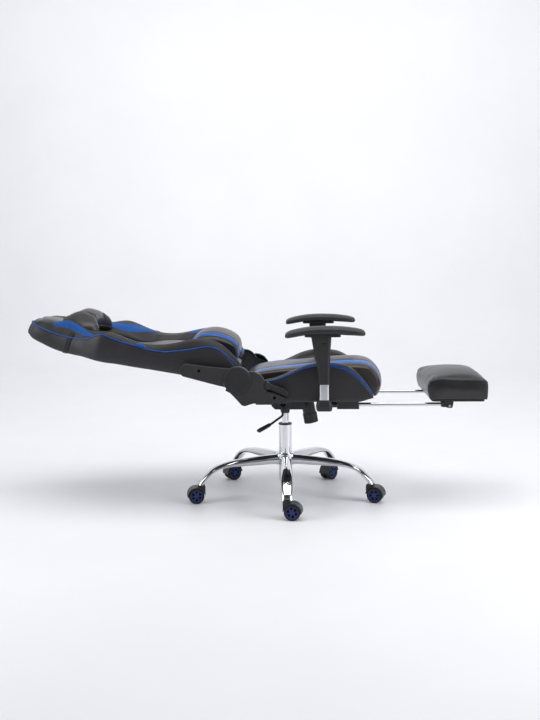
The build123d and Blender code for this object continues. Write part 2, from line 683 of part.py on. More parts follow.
# ================================================================ foot rest
with BuildPart() as footrest_rails:
    with BuildSketch(Plane(origin=(178, 0, 0), x_dir=(0, 1, 0), z_dir=(1, 0, 0))):
        with Locations((-RAIL_Y, RAIL_Z)):
            Circle(RAIL_R)
            Circle(RAIL_R - 1.5, mode=Mode.SUBTRACT)
    extrude(amount=418)
    mirror(about=Plane.XZ)
save(footrest_rails.part, "footrest_rails")

with BuildPart() as footrest_rail_stops:
    with BuildSketch(Plane(origin=(172, 0, 0), x_dir=(0, 1, 0), z_dir=(1, 0, 0))):
        with Locations((-RAIL_Y, RAIL_Z)):
            Circle(11.5)
    extrude(amount=22)
    fillet(footrest_rail_stops.edges().filter_by(GeomType.CIRCLE), 2)
    with BuildSketch(Plane(origin=(177.8, 0, 0), x_dir=(0, 1, 0), z_dir=(1, 0, 0))):
        with Locations((-RAIL_Y, RAIL_Z)):
            Circle(RAIL_R + 0.05)
    extrude(amount=30, mode=Mode.SUBTRACT)
    mirror(about=Plane.XZ)
save(footrest_rail_stops.part, "footrest_rail_stops")

with BuildPart() as footrest_hinge_brackets:
    with BuildSketch(side_at(-RAIL_Y + 11)):
        with BuildLine():
            Polyline((582, 379), (604, 377.5), (618, 377.5), (624, 382), (624, 391), (619, 396), (582, 396), close=True)
        make_face()
    extrude(amount=22)
    with BuildSketch(Plane(origin=(570, 0, 0), x_dir=(0, 1, 0), z_dir=(1, 0, 0))):
        with Locations((-RAIL_Y, RAIL_Z)):
            Circle(RAIL_R + 0.05)
    extrude(amount=26.2, mode=Mode.SUBTRACT)
    with BuildSketch(side_at(-100)):
        with Locations((FOOT_PIVOT.X, FOOT_PIVOT.Z)):
            Circle(4.6)
    extrude(amount=100, mode=Mode.SUBTRACT)
    mirror(about=Plane.XZ)
save(footrest_hinge_brackets.part, "footrest_hinge_brackets")

with BuildPart() as footrest_pivot_pins:
    with BuildSketch(side_at(-136)):
        with Locations((FOOT_PIVOT.X, FOOT_PIVOT.Z)):
            Circle(4.5)
    extrude(amount=42)
    mirror(about=Plane.XZ)
save(footrest_pivot_pins.part, "footrest_pivot_pins")

with BuildPart() as footrest_board:
    with BuildSketch(Plane.XY.offset(FOOT_Z + 1)):
        with Locations(((FOOT_X0 + FOOT_X1) / 2 + 3, 0)):
            RectangleRounded(FOOT_X1 - FOOT_X0 - 34, 2 * FOOT_HALF - 18, 14)
    extrude(amount=7)
    for y in (-138.0, -168.0):
        with BuildSketch(side_at(y)):
            with BuildLine():
                Polyline((595, 401), (601, 378), (605, 376), (619, 376), (623, 378), (627, 401), close=True)
            make_face()
        extrude(amount=4)
    with BuildSketch(side_at(-130)):
        with Locations((FOOT_PIVOT.X, FOOT_PIVOT.Z)):
            Circle(4.55)
    extrude(amount=50, mode=Mode.SUBTRACT)
    mirror(about=Plane.XZ)
save(footrest_board.part, "footrest_board")

# arched along its length, wrapped round the edge of the board
FOOT_PROFILE = [(541, FOOT_Z), (532, 420), (FOOT_X0, 447), (532, 474), (545, 484), (569, 493), (612, 500), (655, 503), (697, 501), (728, 496),
                (747, 489), (755, 482), (FOOT_X1, 470), (FOOT_X1, 410), (753, FOOT_Z)]
with BuildPart() as footrest_cushion:
    with BuildSketch(SIDE):
        with BuildLine():
            Polyline(*FOOT_PROFILE, close=True)
        make_face()
    extrude(amount=FOOT_HALF, both=True)
    with BuildSketch(Plane.XY.offset(FOOT_Z - 1)):
        with Locations(((FOOT_X0 + FOOT_X1) / 2 + 3, 0)):
            RectangleRounded(FOOT_X1 - FOOT_X0 - 33.4, 2 * FOOT_HALF - 17.4, 14.3)
    extrude(amount=9.3, mode=Mode.SUBTRACT)
save(footrest_cushion.part, "footrest_cushion")

# ================================================================ arm rests
ARM_PAD = [(3, 664), (10, 672.5), (40, 682), (90, 691), (145, 694), (200, 692.5), (250, 686.5), (280, 678.5), (289, 669), (284, 660.5), (270, 659.8),
           (245, 661.3), (205, 662.5), (145, 663), (90, 662), (45, 657.5), (20, 652.5), (9, 651.5), (3, 657)]
for sign, hand in ((-1, "right"), (1, "left")):
    cy = sign * ARM_Y
    with BuildPart() as arm_sleeve:
        with BuildSketch(Plane.XY.offset(483)):
            with Locations((ARM_X - 1, cy)):
                RectangleRounded(43, 27, 11)
        with BuildSketch(Plane.XY.offset(570)):
            with Locations((ARM_X - 5, cy)):
                RectangleRounded(52, 34, 12)
        with BuildSketch(Plane.XY.offset(614)):
            with Locations((ARM_X - 8, cy)):
                RectangleRounded(62, 39, 13)
        with BuildSketch(Plane.XY.offset(656)):
            with Locations((ARM_X - 9, cy)):
                RectangleRounded(69, 44, 14)
        loft()
        with BuildSketch(Plane.XY.offset(656)):
            with Locations((ARM_X - 6, cy)):
                RectangleRounded(128, 62, 10)
        extrude(amount=7.6)
        with BuildSketch(Plane.XY.offset(470)):
            with Locations((ARM_X, cy)):
                RectangleRounded(36.8, 18.8, 9.2)
        extrude(amount=168, mode=Mode.SUBTRACT)
        # pocket of the height button on the outer face
        with BuildSketch(side_at(cy + sign * 40)):
            with Locations((ARM_X - 3, 626)):
                RectangleRounded(19, 17, 4)
        extrude(amount=sign * 30, mode=Mode.SUBTRACT)
    save(arm_sleeve.part, f"arm_sleeve_{hand}")

    with BuildPart() as arm_button:
        with BuildSketch(side_at(cy + sign * 22.5)):
            with Locations((ARM_X - 3, 626)):
                RectangleRounded(18.2, 16.2, 3.7)
        extrude(amount=sign * 6.5)
        fillet(arm_button.faces().sort_by(Axis.Y)[0 if sign < 0 else -1].edges(), 1.2)
    save(arm_button.part, f"arm_button_{hand}")

    with BuildPart() as arm_pad:
        with BuildSketch(side_at(cy + 43)):
            with BuildLine():
                Spline(*ARM_PAD, periodic=True)
            make_face()
        extrude(amount=86)
        fillet(arm_pad.edges().filter_by(lambda e: abs(abs(e.center().Y - cy) - 43) < 0.5), 5)
        with BuildSketch(Plane.XY.offset(640)):
            with Locations((ARM_X - 6, cy)):
                RectangleRounded(129, 63, 10.5)
        extrude(amount=23.9, mode=Mode.SUBTRACT)
    save(arm_pad.part, f"arm_pad_{hand}")

# ================================================================ castors
for k in range(5):
    out, _ = leg_frame(k)
    h = radians(CASTOR_HEADINGS[k])
    trail = Vector(cos(h), sin(h), 0)
    axle = Vector(-sin(h), cos(h), 0)
    stem = out * LEG_R
    hub = stem + trail * CASTOR_TRAIL + Z * WHEEL_R
    MID = Plane(origin=hub, x_dir=trail, z_dir=axle * -1)        # sketch (along the trail, up)
    half = WHEEL_GAP + WHEEL_W
    with BuildPart() as fork:
        # stem block and the hood that arches over both wheels
        with BuildSketch(MID.offset(-14)):
            with BuildLine():
                Polyline((-34.5, 6), (-34.5, 37), (-31, 40), (-9, 40), (-5.5, 36.5), (-2, 28), (-10, 10), close=True)
            make_face()
        extrude(amount=28)
        with BuildSketch(MID.offset(-half + 1)):
            Circle(WHEEL_R + 4.4)
        extrude(amount=2 * half - 2)
        with BuildSketch(MID.offset(-half)):
            Circle(WHEEL_R + 1.3)
            with BuildLine():
                Polyline((0, 0), (-60, 8), (-60, -60), (60, -60), (60, -6), close=True)
            make_face()
        extrude(amount=2 * half, mode=Mode.SUBTRACT)
        # web between the wheels
        with BuildSketch(MID.offset(-(WHEEL_GAP - 1))):
            Circle(22)
            with BuildLine():
                Polyline((-21, 0), (-33.0, 9), (-31, 30), (0, 33), (24, 20), (20, 0), close=True)
            make_face()
        extrude(amount=2 * (WHEEL_GAP - 1))
        with BuildSketch(Plane(origin=stem + Z * 52, x_dir=trail, z_dir=Z)):
            Circle(STEM_R + 0.02)
        extrude(amount=40, mode=Mode.SUBTRACT)
        with BuildSketch(MID.offset(-half)):
            Circle(AXLE_R + 0.02)
        extrude(amount=2 * half, mode=Mode.SUBTRACT)
    with BuildPart() as stem_pin:
        with BuildSketch(Plane(origin=stem + Z * 53, x_dir=trail, z_dir=Z)):
            Circle(STEM_R)
        extrude(amount=29.5)
        fillet(stem_pin.edges().group_by(Axis.Z)[-1], 1.5)
        with BuildSketch(Plane(origin=stem + Z * 70.1, x_dir=trail, z_dir=Z)):
            Circle(9.0)
        extrude(amount=1.5)
    with BuildPart() as axle_pin:
        with BuildSketch(MID.offset(-half + 4)):
            Circle(AXLE_R)
        extrude(amount=2 * half - 8)
    save(Compound(children=[fork.part, stem_pin.part, axle_pin.part]), f"castor_{k + 1}_fork")

    for sign, where in ((1, "a"), (-1, "b")):
        # sketch (radius, along the axle), revolved about the axle; wheel a is the one on the right of the trail
        way = axle * -sign
        PROFILE = Plane(origin=hub, x_dir=Z, z_dir=Z.cross(way))
        with BuildPart() as wheel:
            with BuildSketch(PROFILE):
                with BuildLine():
                    Polyline((AXLE_R + 0.08, WHEEL_GAP), (26, WHEEL_GAP), (29, WHEEL_GAP + 1.5), (WHEEL_R, WHEEL_GAP + 4), (WHEEL_R, half - 5),
                             (28.5, half - 1.5), (26, half), (23.4, half), (23.4, half - 4.2), (AXLE_R + 0.08, half - 4.2), close=True)
                make_face()
            revolve(axis=Axis(hub, way))
        with BuildPart() as rim:
            with BuildSketch(Plane(origin=hub + way * (half - 4.0), x_dir=Z, z_dir=way)):
                Circle(23.2)
                with PolarLocations(14.6, 6):
                    Circle(4.3, mode=Mode.SUBTRACT)
            extrude(amount=3.4)
            chamfer(rim.faces().filter_by(Plane(origin=hub, z_dir=way)).sort_by(Axis(hub, way))[-1].outer_wire().edges(), 1.0)
        save(Compound(children=[wheel.part, rim.part]), f"castor_{k + 1}_wheel_{where}")

print("done")
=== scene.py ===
import math

import bpy
import numpy as np
from mathutils import Matrix, Vector
from mathutils.bvhtree import BVHTree


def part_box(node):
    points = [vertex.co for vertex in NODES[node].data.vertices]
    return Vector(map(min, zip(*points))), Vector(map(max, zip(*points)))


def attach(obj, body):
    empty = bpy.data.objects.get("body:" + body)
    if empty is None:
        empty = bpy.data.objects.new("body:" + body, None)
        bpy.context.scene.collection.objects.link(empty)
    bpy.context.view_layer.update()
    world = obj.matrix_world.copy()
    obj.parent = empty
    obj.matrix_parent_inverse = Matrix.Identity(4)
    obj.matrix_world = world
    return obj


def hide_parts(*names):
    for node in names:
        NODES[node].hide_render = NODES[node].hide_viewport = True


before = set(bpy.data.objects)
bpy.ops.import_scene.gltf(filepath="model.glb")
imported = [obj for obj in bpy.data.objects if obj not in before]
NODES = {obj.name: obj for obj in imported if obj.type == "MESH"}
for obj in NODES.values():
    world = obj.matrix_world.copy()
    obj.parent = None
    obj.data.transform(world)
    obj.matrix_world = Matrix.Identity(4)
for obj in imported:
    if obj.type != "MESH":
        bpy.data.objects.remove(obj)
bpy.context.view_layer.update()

SCENE = bpy.context.scene


# ---------------------------------------------------------------- small helpers
def pchip(table):
    """Monotone cubic through (x, y) pairs."""
    xs = np.array([p[0] for p in table], float)
    ys = np.array([p[1] for p in table], float)
    h = np.diff(xs)
    d = np.diff(ys) / h
    m = np.zeros_like(ys)
    m[0], m[-1] = d[0], d[-1]
    for i in range(1, len(xs) - 1):
        if d[i - 1] * d[i] > 0:
            a, b = 2 * h[i] + h[i - 1], h[i] + 2 * h[i - 1]
            m[i] = (a + b) / (a / d[i - 1] + b / d[i])

    def at(x):
        x = min(max(float(x), xs[0]), xs[-1])
        i = min(int(np.searchsorted(xs, x, side="right")) - 1, len(xs) - 2)
        t = (x - xs[i]) / h[i]
        return float(
            ys[i] * (1 + 2 * t) * (1 - t) ** 2 + h[i] * m[i] * t * (1 - t) ** 2 + ys[i + 1] * t * t * (3 - 2 * t) + h[i] * m[i + 1] * t * t * (t - 1)
        )

    return at


def smooth(x, a, b):
    t = min(max((x - a) / (b - a), 0.0), 1.0)
    return t * t * (3 - 2 * t)


def piece(name, verts, faces, mats, face_mats=None, sub=0, flat=False):
    me = bpy.data.meshes.new(name)
    me.from_pydata([tuple(map(float, v)) for v in verts], [], [tuple(map(int, f)) for f in faces])
    for m in mats:
        me.materials.append(m)
    if face_mats is not None:
        me.polygons.foreach_set("material_index", np.array(face_mats, dtype=np.int32))
    me.polygons.foreach_set("use_smooth", np.full(len(me.polygons), not flat))
    me.validate()
    me.update()
    o = bpy.data.objects.new(name, me)
    SCENE.collection.objects.link(o)
    if sub:
        s = o.modifiers.new("sub", "SUBSURF")
        s.levels = s.render_levels = sub
    return o


def loft(rings, ends=(True, True), closed=True):
    """Quads between rings of equal length, with a point fan on each end. Returns verts, faces and (ring, column) of each face."""
    rings = np.asarray(rings, float)
    count, width = rings.shape[:2]
    verts = rings.reshape(-1, 3).tolist()
    faces, where = [], []
    cols = width if closed else width - 1
    for i in range(count - 1):
        for j in range(cols):
            k = (j + 1) % width
            faces.append((i * width + j, i * width + k, (i + 1) * width + k, (i + 1) * width + j))
            where.append((i, j))
    if ends[0]:
        verts.append(rings[0].mean(axis=0).tolist())
        for j in range(cols):
            faces.append((len(verts) - 1, (j + 1) % width, j))
            where.append((-1, j))
    if ends[1]:
        verts.append(rings[-1].mean(axis=0).tolist())
        base = (count - 1) * width
        for j in range(cols):
            faces.append((len(verts) - 1, base + j, base + (j + 1) % width))
            where.append((count, j))
    return verts, faces, where


def outward(verts, faces):
    """Turns all faces round if the closed mesh is inside out."""
    v = np.asarray(verts, float)
    volume = 0.0
    for f in faces:
        for a, b in zip(f[1:-1], f[2:]):
            volume += float(np.dot(v[f[0]], np.cross(v[a], v[b])))
    return [tuple(reversed(f)) for f in faces] if volume < 0 else faces


def resample(pts, step):
    pts = np.asarray(pts, float)
    d = np.concatenate([[0], np.cumsum(np.linalg.norm(np.diff(pts, axis=0), axis=1))])
    n = max(2, int(round(d[-1] / step)) + 1)
    t = np.linspace(0, d[-1], n)
    return np.stack([np.interp(t, d, pts[:, k]) for k in range(3)], axis=1)


def tube_geometry(pts, radius, seg=10, closed=False, flat=1.0, normals=None):
    """A round (or flattened) cord along points, with rounded ends."""
    pts = np.asarray(pts, float)
    n = len(pts)
    tang = np.zeros_like(pts)
    for i in range(n):
        a, b = (pts[i - 1], pts[(i + 1) % n]) if closed else (pts[max(i - 1, 0)], pts[min(i + 1, n - 1)])
        tang[i] = (b - a) / max(np.linalg.norm(b - a), 1e-12)
    up = np.array([0.0, 0, 1]) if abs(tang[0][2]) < 0.9 else np.array([1.0, 0, 0])
    side = np.cross(tang[0], up)
    side /= np.linalg.norm(side)
    rings, radii = [], []
    for i in range(n):
        if normals is not None:
            nn = np.asarray(normals[i], float)
            side = np.cross(tang[i], nn)
        side = side - tang[i] * np.dot(side, tang[i])
        side /= max(np.linalg.norm(side), 1e-12)
        nor = np.cross(side, tang[i])
        rings.append([pts[i] + radius * (side * math.cos(a) + nor * flat * math.sin(a)) for a in np.linspace(0, 2 * math.pi, seg, endpoint=False)])
    if closed:
        rings.append(rings[0])
        verts, faces, _ = loft(rings[:-1], ends=(False, False))
        w = seg
        base = (n - 1) * w
        for j in range(w):
            k = (j + 1) % w
            faces.append((base + j, base + k, k, j))
        return verts, faces
    c0, c1 = pts[0], pts[-1]
    first = [[c0 + (np.array(p) - c0) * 0.6 - tang[0] * radius * 0.6 for p in rings[0]]]
    last = [[c1 + (np.array(p) - c1) * 0.6 + tang[-1] * radius * 0.6 for p in rings[-1]]]
    verts, faces, _ = loft(first + rings + last)
    return verts, faces


def joined(name, parts, mats, sub=0):
    """Several (verts, faces, material index) sets as one piece."""
    verts, faces, idx = [], [], []
    for v, f, m in parts:
        base = len(verts)
        verts += [list(p) for p in v]
        f = outward(v, f)
        faces += [tuple(base + i for i in g) for g in f]
        idx += [m] * len(f)
    return piece(name, verts, faces, mats, idx, sub=sub)


def surface(*objs):
    """BVH of the finished surface of some pieces, modifiers included, in the row frame."""
    dg = bpy.context.evaluated_depsgraph_get()
    verts, faces = [], []
    for o in objs:
        e = o.evaluated_get(dg)
        me = e.to_mesh()
        base = len(verts)
        verts += [e.matrix_world @ v.co for v in me.vertices]
        faces += [tuple(base + i for i in p.vertices) for p in me.polygons]
        e.to_mesh_clear()
    return BVHTree.FromPolygons(verts, faces)


def settle(tree, pts, lift=0.0):
    """Points moved onto a surface, and its normals there."""
    out, nor = [], []
    for p in pts:
        hit, n, _, _ = tree.find_nearest(Vector(p))
        out.append(np.array(hit + n * lift))
        nor.append(np.array(n))
    return np.array(out), np.array(nor)


def soften(pts, times=2, closed=False):
    pts = np.array(pts, float)
    for _ in range(times):
        if closed:
            pts = (np.roll(pts, 1, axis=0) + 2 * pts + np.roll(pts, -1, axis=0)) / 4
        else:
            pts[1:-1] = (pts[:-2] + 2 * pts[1:-1] + pts[2:]) / 4
    return pts


def welt(name, tree, pts, radius, mat, lift=0.0, closed=False, step=0.006, seg=10):
    """A piped edge lying on a surface."""
    if closed:
        pts = np.vstack([pts, pts[:1]])
    p = resample(pts, step)
    if closed:
        p = p[:-1]
    p, n = settle(tree, p, lift)
    p = soften(p, 2, closed)
    v, f = tube_geometry(p, radius, seg, closed)
    return piece(name, v, outward(v, f), [mat])


def stitches(name, tree, runs, mat, length=0.0042, gap=0.0024, radius=0.00042, lift=0.0002):
    """Rows of thread, each stitch a small rounded cord that dips at both ends."""
    parts = []
    for pts in runs:
        p = resample(pts, 0.0011)
        d = np.concatenate([[0], np.cumsum(np.linalg.norm(np.diff(p, axis=0), axis=1))])
        at = gap
        while at + length < d[-1]:
            t = np.linspace(at, at + length, 4)
            q = np.stack([np.interp(t, d, p[:, k]) for k in range(3)], axis=1)
            q, n = settle(tree, q, lift)
            for k, dip in ((0, 0.0006), (3, 0.0006)):
                q[k] -= n[k] * dip
            v, f = tube_geometry(q, radius, 5)
            parts.append((v, f, 0))
            at += length + gap
    return joined(name, parts, [mat])


def puff(obj, voxel, pressure, cap, floor=None, shrink=0.0, seed=1, keep=None, calm=0):
    """Remeshes a closed pad and lets the cloth solver swell it. floor is (point, normal) of what it lies on, calm evens out the crumples."""
    bpy.ops.object.select_all(action="DESELECT")
    bpy.context.view_layer.objects.active = obj
    obj.select_set(True)
    r = obj.modifiers.new("remesh", "REMESH")
    r.mode = "VOXEL"
    r.voxel_size = voxel
    r.use_smooth_shade = True
    bpy.ops.object.modifier_apply(modifier=r.name)
    n = len(obj.data.vertices)
    rest = np.zeros(n * 3)
    obj.data.vertices.foreach_get("co", rest)
    rest = rest.reshape(-1, 3)
    c = obj.modifiers.new("cloth", "CLOTH")
    s = c.settings
    s.quality = 6
    s.mass = 0.25
    s.tension_stiffness = s.compression_stiffness = 22
    s.shear_stiffness = 8
    s.bending_stiffness = 0.4
    s.tension_damping = s.compression_damping = 8
    s.shear_damping = 6
    s.air_damping = 2
    s.use_pressure = True
    s.uniform_pressure_force = pressure
    s.shrink_min = shrink
    s.effector_weights.gravity = 0
    c.collision_settings.use_collision = False
    c.collision_settings.use_self_collision = False
    c.point_cache.frame_start = 1
    c.point_cache.frame_end = 20
    for f in range(1, 21):
        SCENE.frame_set(f)
    e = obj.evaluated_get(bpy.context.evaluated_depsgraph_get())
    got = np.zeros(n * 3)
    e.data.vertices.foreach_get("co", got)
    new = got.reshape(-1, 3)
    obj.modifiers.remove(c)
    SCENE.frame_set(1)
    move = new - rest
    far = np.linalg.norm(move, axis=1)
    move *= (np.minimum(far, cap) / np.maximum(far, 1e-9))[:, None]
    if calm:
        ends = np.zeros(len(obj.data.edges) * 2, dtype=np.int32)
        obj.data.edges.foreach_get("vertices", ends)
        a, b = ends[0::2], ends[1::2]
        degree = np.maximum(np.bincount(ends, minlength=n), 1)[:, None]
        for _ in range(calm):
            total = np.zeros_like(move)
            np.add.at(total, a, move[b])
            np.add.at(total, b, move[a])
            move = 0.4 * move + 0.6 * total / degree
    if keep is not None:
        move *= keep(rest)[:, None]
    new = rest + move
    if floor is not None:
        p, d = np.array(floor[0]), np.array(floor[1])
        depth = (new - p) @ d
        new += np.where(depth < 0, -depth, 0)[:, None] * d[None, :]
    obj.data.vertices.foreach_set("co", new.ravel())
    obj.data.polygons.foreach_set("use_smooth", np.ones(len(obj.data.polygons), dtype=bool))
    obj.data.update()
    return obj


def reshape(obj, fn):
    """Moves every vertex through fn(points) -> points."""
    n = len(obj.data.vertices)
    co = np.zeros(n * 3)
    obj.data.vertices.foreach_get("co", co)
    obj.data.vertices.foreach_set("co", fn(co.reshape(-1, 3)).ravel())
    obj.data.update()


def subdivide(obj, level=1):
    s = obj.modifiers.new("sub", "SUBSURF")
    s.levels = s.render_levels = level


# ---------------------------------------------------------------- materials
class Mat:
    """A principled material with short words for its nodes."""

    def __init__(self, name):
        self.m = bpy.data.materials.new(name)
        self.m.use_nodes = True
        self.nt = self.m.node_tree
        self.b = self.nt.nodes["Principled BSDF"]
        self.co = self.nt.nodes.new("ShaderNodeTexCoord").outputs["Object"]

    def node(self, kind, **props):
        n = self.nt.nodes.new(kind)
        for k, v in props.items():
            setattr(n, k, v)
        return n

    def link(self, a, b):
        self.nt.links.new(a, b)

    def noise(self, scale, detail=4.0, rough=0.55, vec=None, distortion=0.0):
        n = self.node("ShaderNodeTexNoise")
        n.inputs["Scale"].default_value = scale
        n.inputs["Detail"].default_value = detail
        n.inputs["Roughness"].default_value = rough
        n.inputs["Distortion"].default_value = distortion
        self.link(vec or self.co, n.inputs["Vector"])
        return n.outputs["Fac"]

    def cells(self, scale, feature="F1", vec=None, rand=1.0):
        n = self.node("ShaderNodeTexVoronoi", feature=feature)
        n.inputs["Scale"].default_value = scale
        n.inputs["Randomness"].default_value = rand
        self.link(vec or self.co, n.inputs["Vector"])
        return n.outputs["Distance"]

    def wave(self, scale, axis="X", vec=None, distortion=0.0):
        n = self.node("ShaderNodeTexWave", wave_type="BANDS", bands_direction=axis, wave_profile="SIN")
        n.inputs["Scale"].default_value = scale
        n.inputs["Distortion"].default_value = distortion
        self.link(vec or self.co, n.inputs["Vector"])
        return n.outputs["Fac"]

    def stretched(self, scale, rotation=(0, 0, 0)):
        n = self.node("ShaderNodeMapping")
        n.inputs["Scale"].default_value = scale
        n.inputs["Rotation"].default_value = rotation
        self.link(self.co, n.inputs["Vector"])
        return n.outputs["Vector"]

    def ramp(self, fac, stops):
        n = self.node("ShaderNodeValToRGB")
        e = n.color_ramp.elements
        while len(e) < len(stops):
            e.new(0.5)
        for el, (p, c) in zip(e, stops):
            el.position = p
            el.color = (*c, 1.0) if len(c) == 3 else c
        self.link(fac, n.inputs["Fac"])
        return n.outputs["Color"]

    def span(self, fac, lo, hi, a=0.0, b=1.0, kind="LINEAR"):
        n = self.node("ShaderNodeMapRange", interpolation_type=kind)
        n.inputs["From Min"].default_value = a
        n.inputs["From Max"].default_value = b
        n.inputs["To Min"].default_value = lo
        n.inputs["To Max"].default_value = hi
        self.link(fac, n.inputs["Value"])
        return n.outputs["Result"]

    def math(self, op, a, b=None):
        n = self.node("ShaderNodeMath", operation=op)
        for k, x in ((0, a), (1, b)):
            if x is None:
                continue
            if isinstance(x, (int, float)):
                n.inputs[k].default_value = x
            else:
                self.link(x, n.inputs[k])
        return n.outputs[0]

    def mix(self, fac, a, b, blend="MIX"):
        n = self.node("ShaderNodeMix", data_type="RGBA", blend_type=blend)
        if isinstance(fac, (int, float)):
            n.inputs[0].default_value = fac
        else:
            self.link(fac, n.inputs[0])
        for k, x in ((6, a), (7, b)):
            if isinstance(x, tuple):
                n.inputs[k].default_value = (*x, 1.0)
            else:
                self.link(x, n.inputs[k])
        return n.outputs[2]

    def axis(self, which):
        n = self.node("ShaderNodeSeparateXYZ")
        self.link(self.co, n.inputs[0])
        return n.outputs["XYZ".index(which)]

    def edge(self, lo=0.5, hi=0.56):
        g = self.node("ShaderNodeNewGeometry")
        return self.span(g.outputs["Pointiness"], 0.0, 1.0, lo, hi)

    def bump(self, height, strength, distance, under=None):
        n = self.node("ShaderNodeBump")
        n.inputs["Strength"].default_value = strength
        n.inputs["Distance"].default_value = distance
        self.link(height, n.inputs["Height"])
        if under is not None:
            self.link(under, n.inputs["Normal"])
        return n.outputs["Normal"]

    def done(self, colour=None, rough=None, normal=None, **values):
        if colour is not None:
            self.link(colour, self.b.inputs["Base Color"])
        if rough is not None:
            self.link(rough, self.b.inputs["Roughness"])
        if normal is not None:
            self.link(normal, self.b.inputs["Normal"])
        for k, v in values.items():
            self.b.inputs[k.replace("_", " ")].default_value = v
        return self.m


def times(c, k):
    return tuple(min(x * k, 1.0) for x in c)


def leather(name, colour, rough=(0.36, 0.5), grain=620.0, stripes=(), spec=0.5, pebbles=0.42, crease=0.35):
    """Coated leather: pebble grain, soft creases, uneven gloss and paler worn ridges. stripes are (inner, outer, colour) in |y|."""
    m = Mat(name)
    tone = m.noise(9.0, 5.0, 0.6)
    col = m.ramp(tone, [(0.25, times(colour, 0.78)), (0.75, times(colour, 1.22))])
    if stripes:
        y = m.math("ABSOLUTE", m.axis("Y"))
        for a, b, c in stripes:
            inside = m.math("MULTIPLY", m.span(y, 0.0, 1.0, a - 0.0004, a + 0.0004), m.span(y, 1.0, 0.0, b - 0.0004, b + 0.0004))
            col = m.mix(inside, col, m.ramp(tone, [(0.25, times(c, 0.82)), (0.75, times(c, 1.18))]))
    worn = m.math("MULTIPLY", m.edge(0.505, 0.58), m.span(m.noise(60.0, 3.0), 0.0, 0.55, 0.35, 0.75))
    col = m.mix(worn, col, times(tuple(max(x, 0.02) for x in colour), 2.2))
    pebble = m.cells(grain, "SMOOTH_F1")
    fine = m.noise(2400.0, 2.0)
    folds = m.noise(34.0, 5.0, 0.6, m.stretched((1.0, 1.9, 1.0)), 0.8)
    r = m.span(m.math("ADD", m.math("MULTIPLY", m.noise(22.0, 4.0), 0.75), m.math("MULTIPLY", pebble, 0.35)), rough[0], rough[1], 0.2, 0.85)
    nor = m.bump(folds, crease, 0.0022)
    nor = m.bump(pebble, pebbles, 0.00035, nor)
    nor = m.bump(fine, 0.2, 0.00012, nor)
    return m.done(col, r, nor, Specular_IOR_Level=spec)


def plastic(name, colour, rough=(0.42, 0.56), scale=900.0, bump=0.28, spec=0.45):
    """Moulded plastic: fine spark-eroded texture, faint flow marks, polished edges."""
    m = Mat(name)
    col = m.ramp(m.noise(14.0, 4.0), [(0.3, times(colour, 0.85)), (0.7, times(colour, 1.18))])
    col = m.mix(m.math("MULTIPLY", m.edge(0.51, 0.6), 0.5), col, times(tuple(max(x, 0.012) for x in colour), 2.4))
    r = m.span(m.noise(40.0, 5.0), rough[0], rough[1], 0.3, 0.7)
    nor = m.bump(m.cells(scale, "F1"), bump, 0.0002)
    nor = m.bump(m.noise(6.0, 3.0), 0.06, 0.004, nor)
    return m.done(col, r, nor, Specular_IOR_Level=spec)


def metal(name, colour, rough=(0.05, 0.13), smudge=26.0, brushed=None, bump=0.03):
    """Plated or bare metal: smudges and hairline scratches in the gloss."""
    m = Mat(name)
    col = m.ramp(m.noise(smudge, 5.0, 0.6), [(0.2, times(colour, 0.93)), (0.8, colour)])
    scratch = m.noise(180.0, 6.0, 0.7, m.stretched(brushed or (1.0, 1.0, 0.06)))
    r = m.span(m.math("ADD", m.math("MULTIPLY", m.noise(smudge * 1.6, 5.0, 0.65), 0.6), m.math("MULTIPLY", scratch, 0.4)), rough[0], rough[1], 0.3, 0.7)
    nor = m.bump(scratch, bump, 0.00008)
    return m.done(col, r, nor, Metallic=1.0)


def powder(name, colour, rough=(0.38, 0.52)):
    """Powder-coated steel: orange peel, chipped to bare metal on sharp edges."""
    m = Mat(name)
    chip = m.math("MULTIPLY", m.edge(0.55, 0.66), m.span(m.noise(240.0, 4.0), 0.0, 0.6, 0.58, 0.68))
    col = m.mix(chip, m.ramp(m.noise(20.0, 4.0), [(0.3, times(colour, 0.85)), (0.7, times(colour, 1.2))]), (0.09, 0.09, 0.095))
    r = m.span(m.noise(55.0, 4.0), rough[0], rough[1], 0.3, 0.7)
    nor = m.bump(m.noise(520.0, 2.0), 0.22, 0.0003)
    return m.done(col, r, nor, Specular_IOR_Level=0.5)


def rubber(name, colour):
    m = Mat(name)
    col = m.ramp(m.noise(70.0, 5.0), [(0.3, times(colour, 0.75)), (0.7, times(colour, 1.4))])
    r = m.span(m.noise(90.0, 5.0), 0.55, 0.78, 0.3, 0.7)
    return m.done(col, r, m.bump(m.noise(1300.0, 3.0), 0.3, 0.0002), Specular_IOR_Level=0.35)


def woven(name, colour, pitch=1500.0, rough=(0.72, 0.9)):
    """Webbing: ribs crossed by finer threads, a little fuzz in the sheen."""
    m = Mat(name)
    warp = m.wave(pitch * 0.11, "X")
    weft = m.wave(pitch * 0.16, "Y")
    deep = m.wave(pitch * 0.16, "Z")
    weave = m.math("MULTIPLY", m.math("ADD", warp, 0.3), m.math("ADD", m.math("MULTIPLY", weft, deep), 0.4))
    col = m.mix(m.span(weave, 0.0, 1.0, 0.1, 1.2), times(colour, 0.6), times(colour, 1.5))
    r = m.span(m.noise(120.0, 4.0), rough[0], rough[1], 0.3, 0.7)
    nor = m.bump(weave, 0.5, 0.0005)
    return m.done(col, r, m.bump(m.noise(1800.0, 2.0), 0.2, 0.0002, nor), Specular_IOR_Level=0.3, Sheen_Weight=0.25, Sheen_Roughness=0.5)


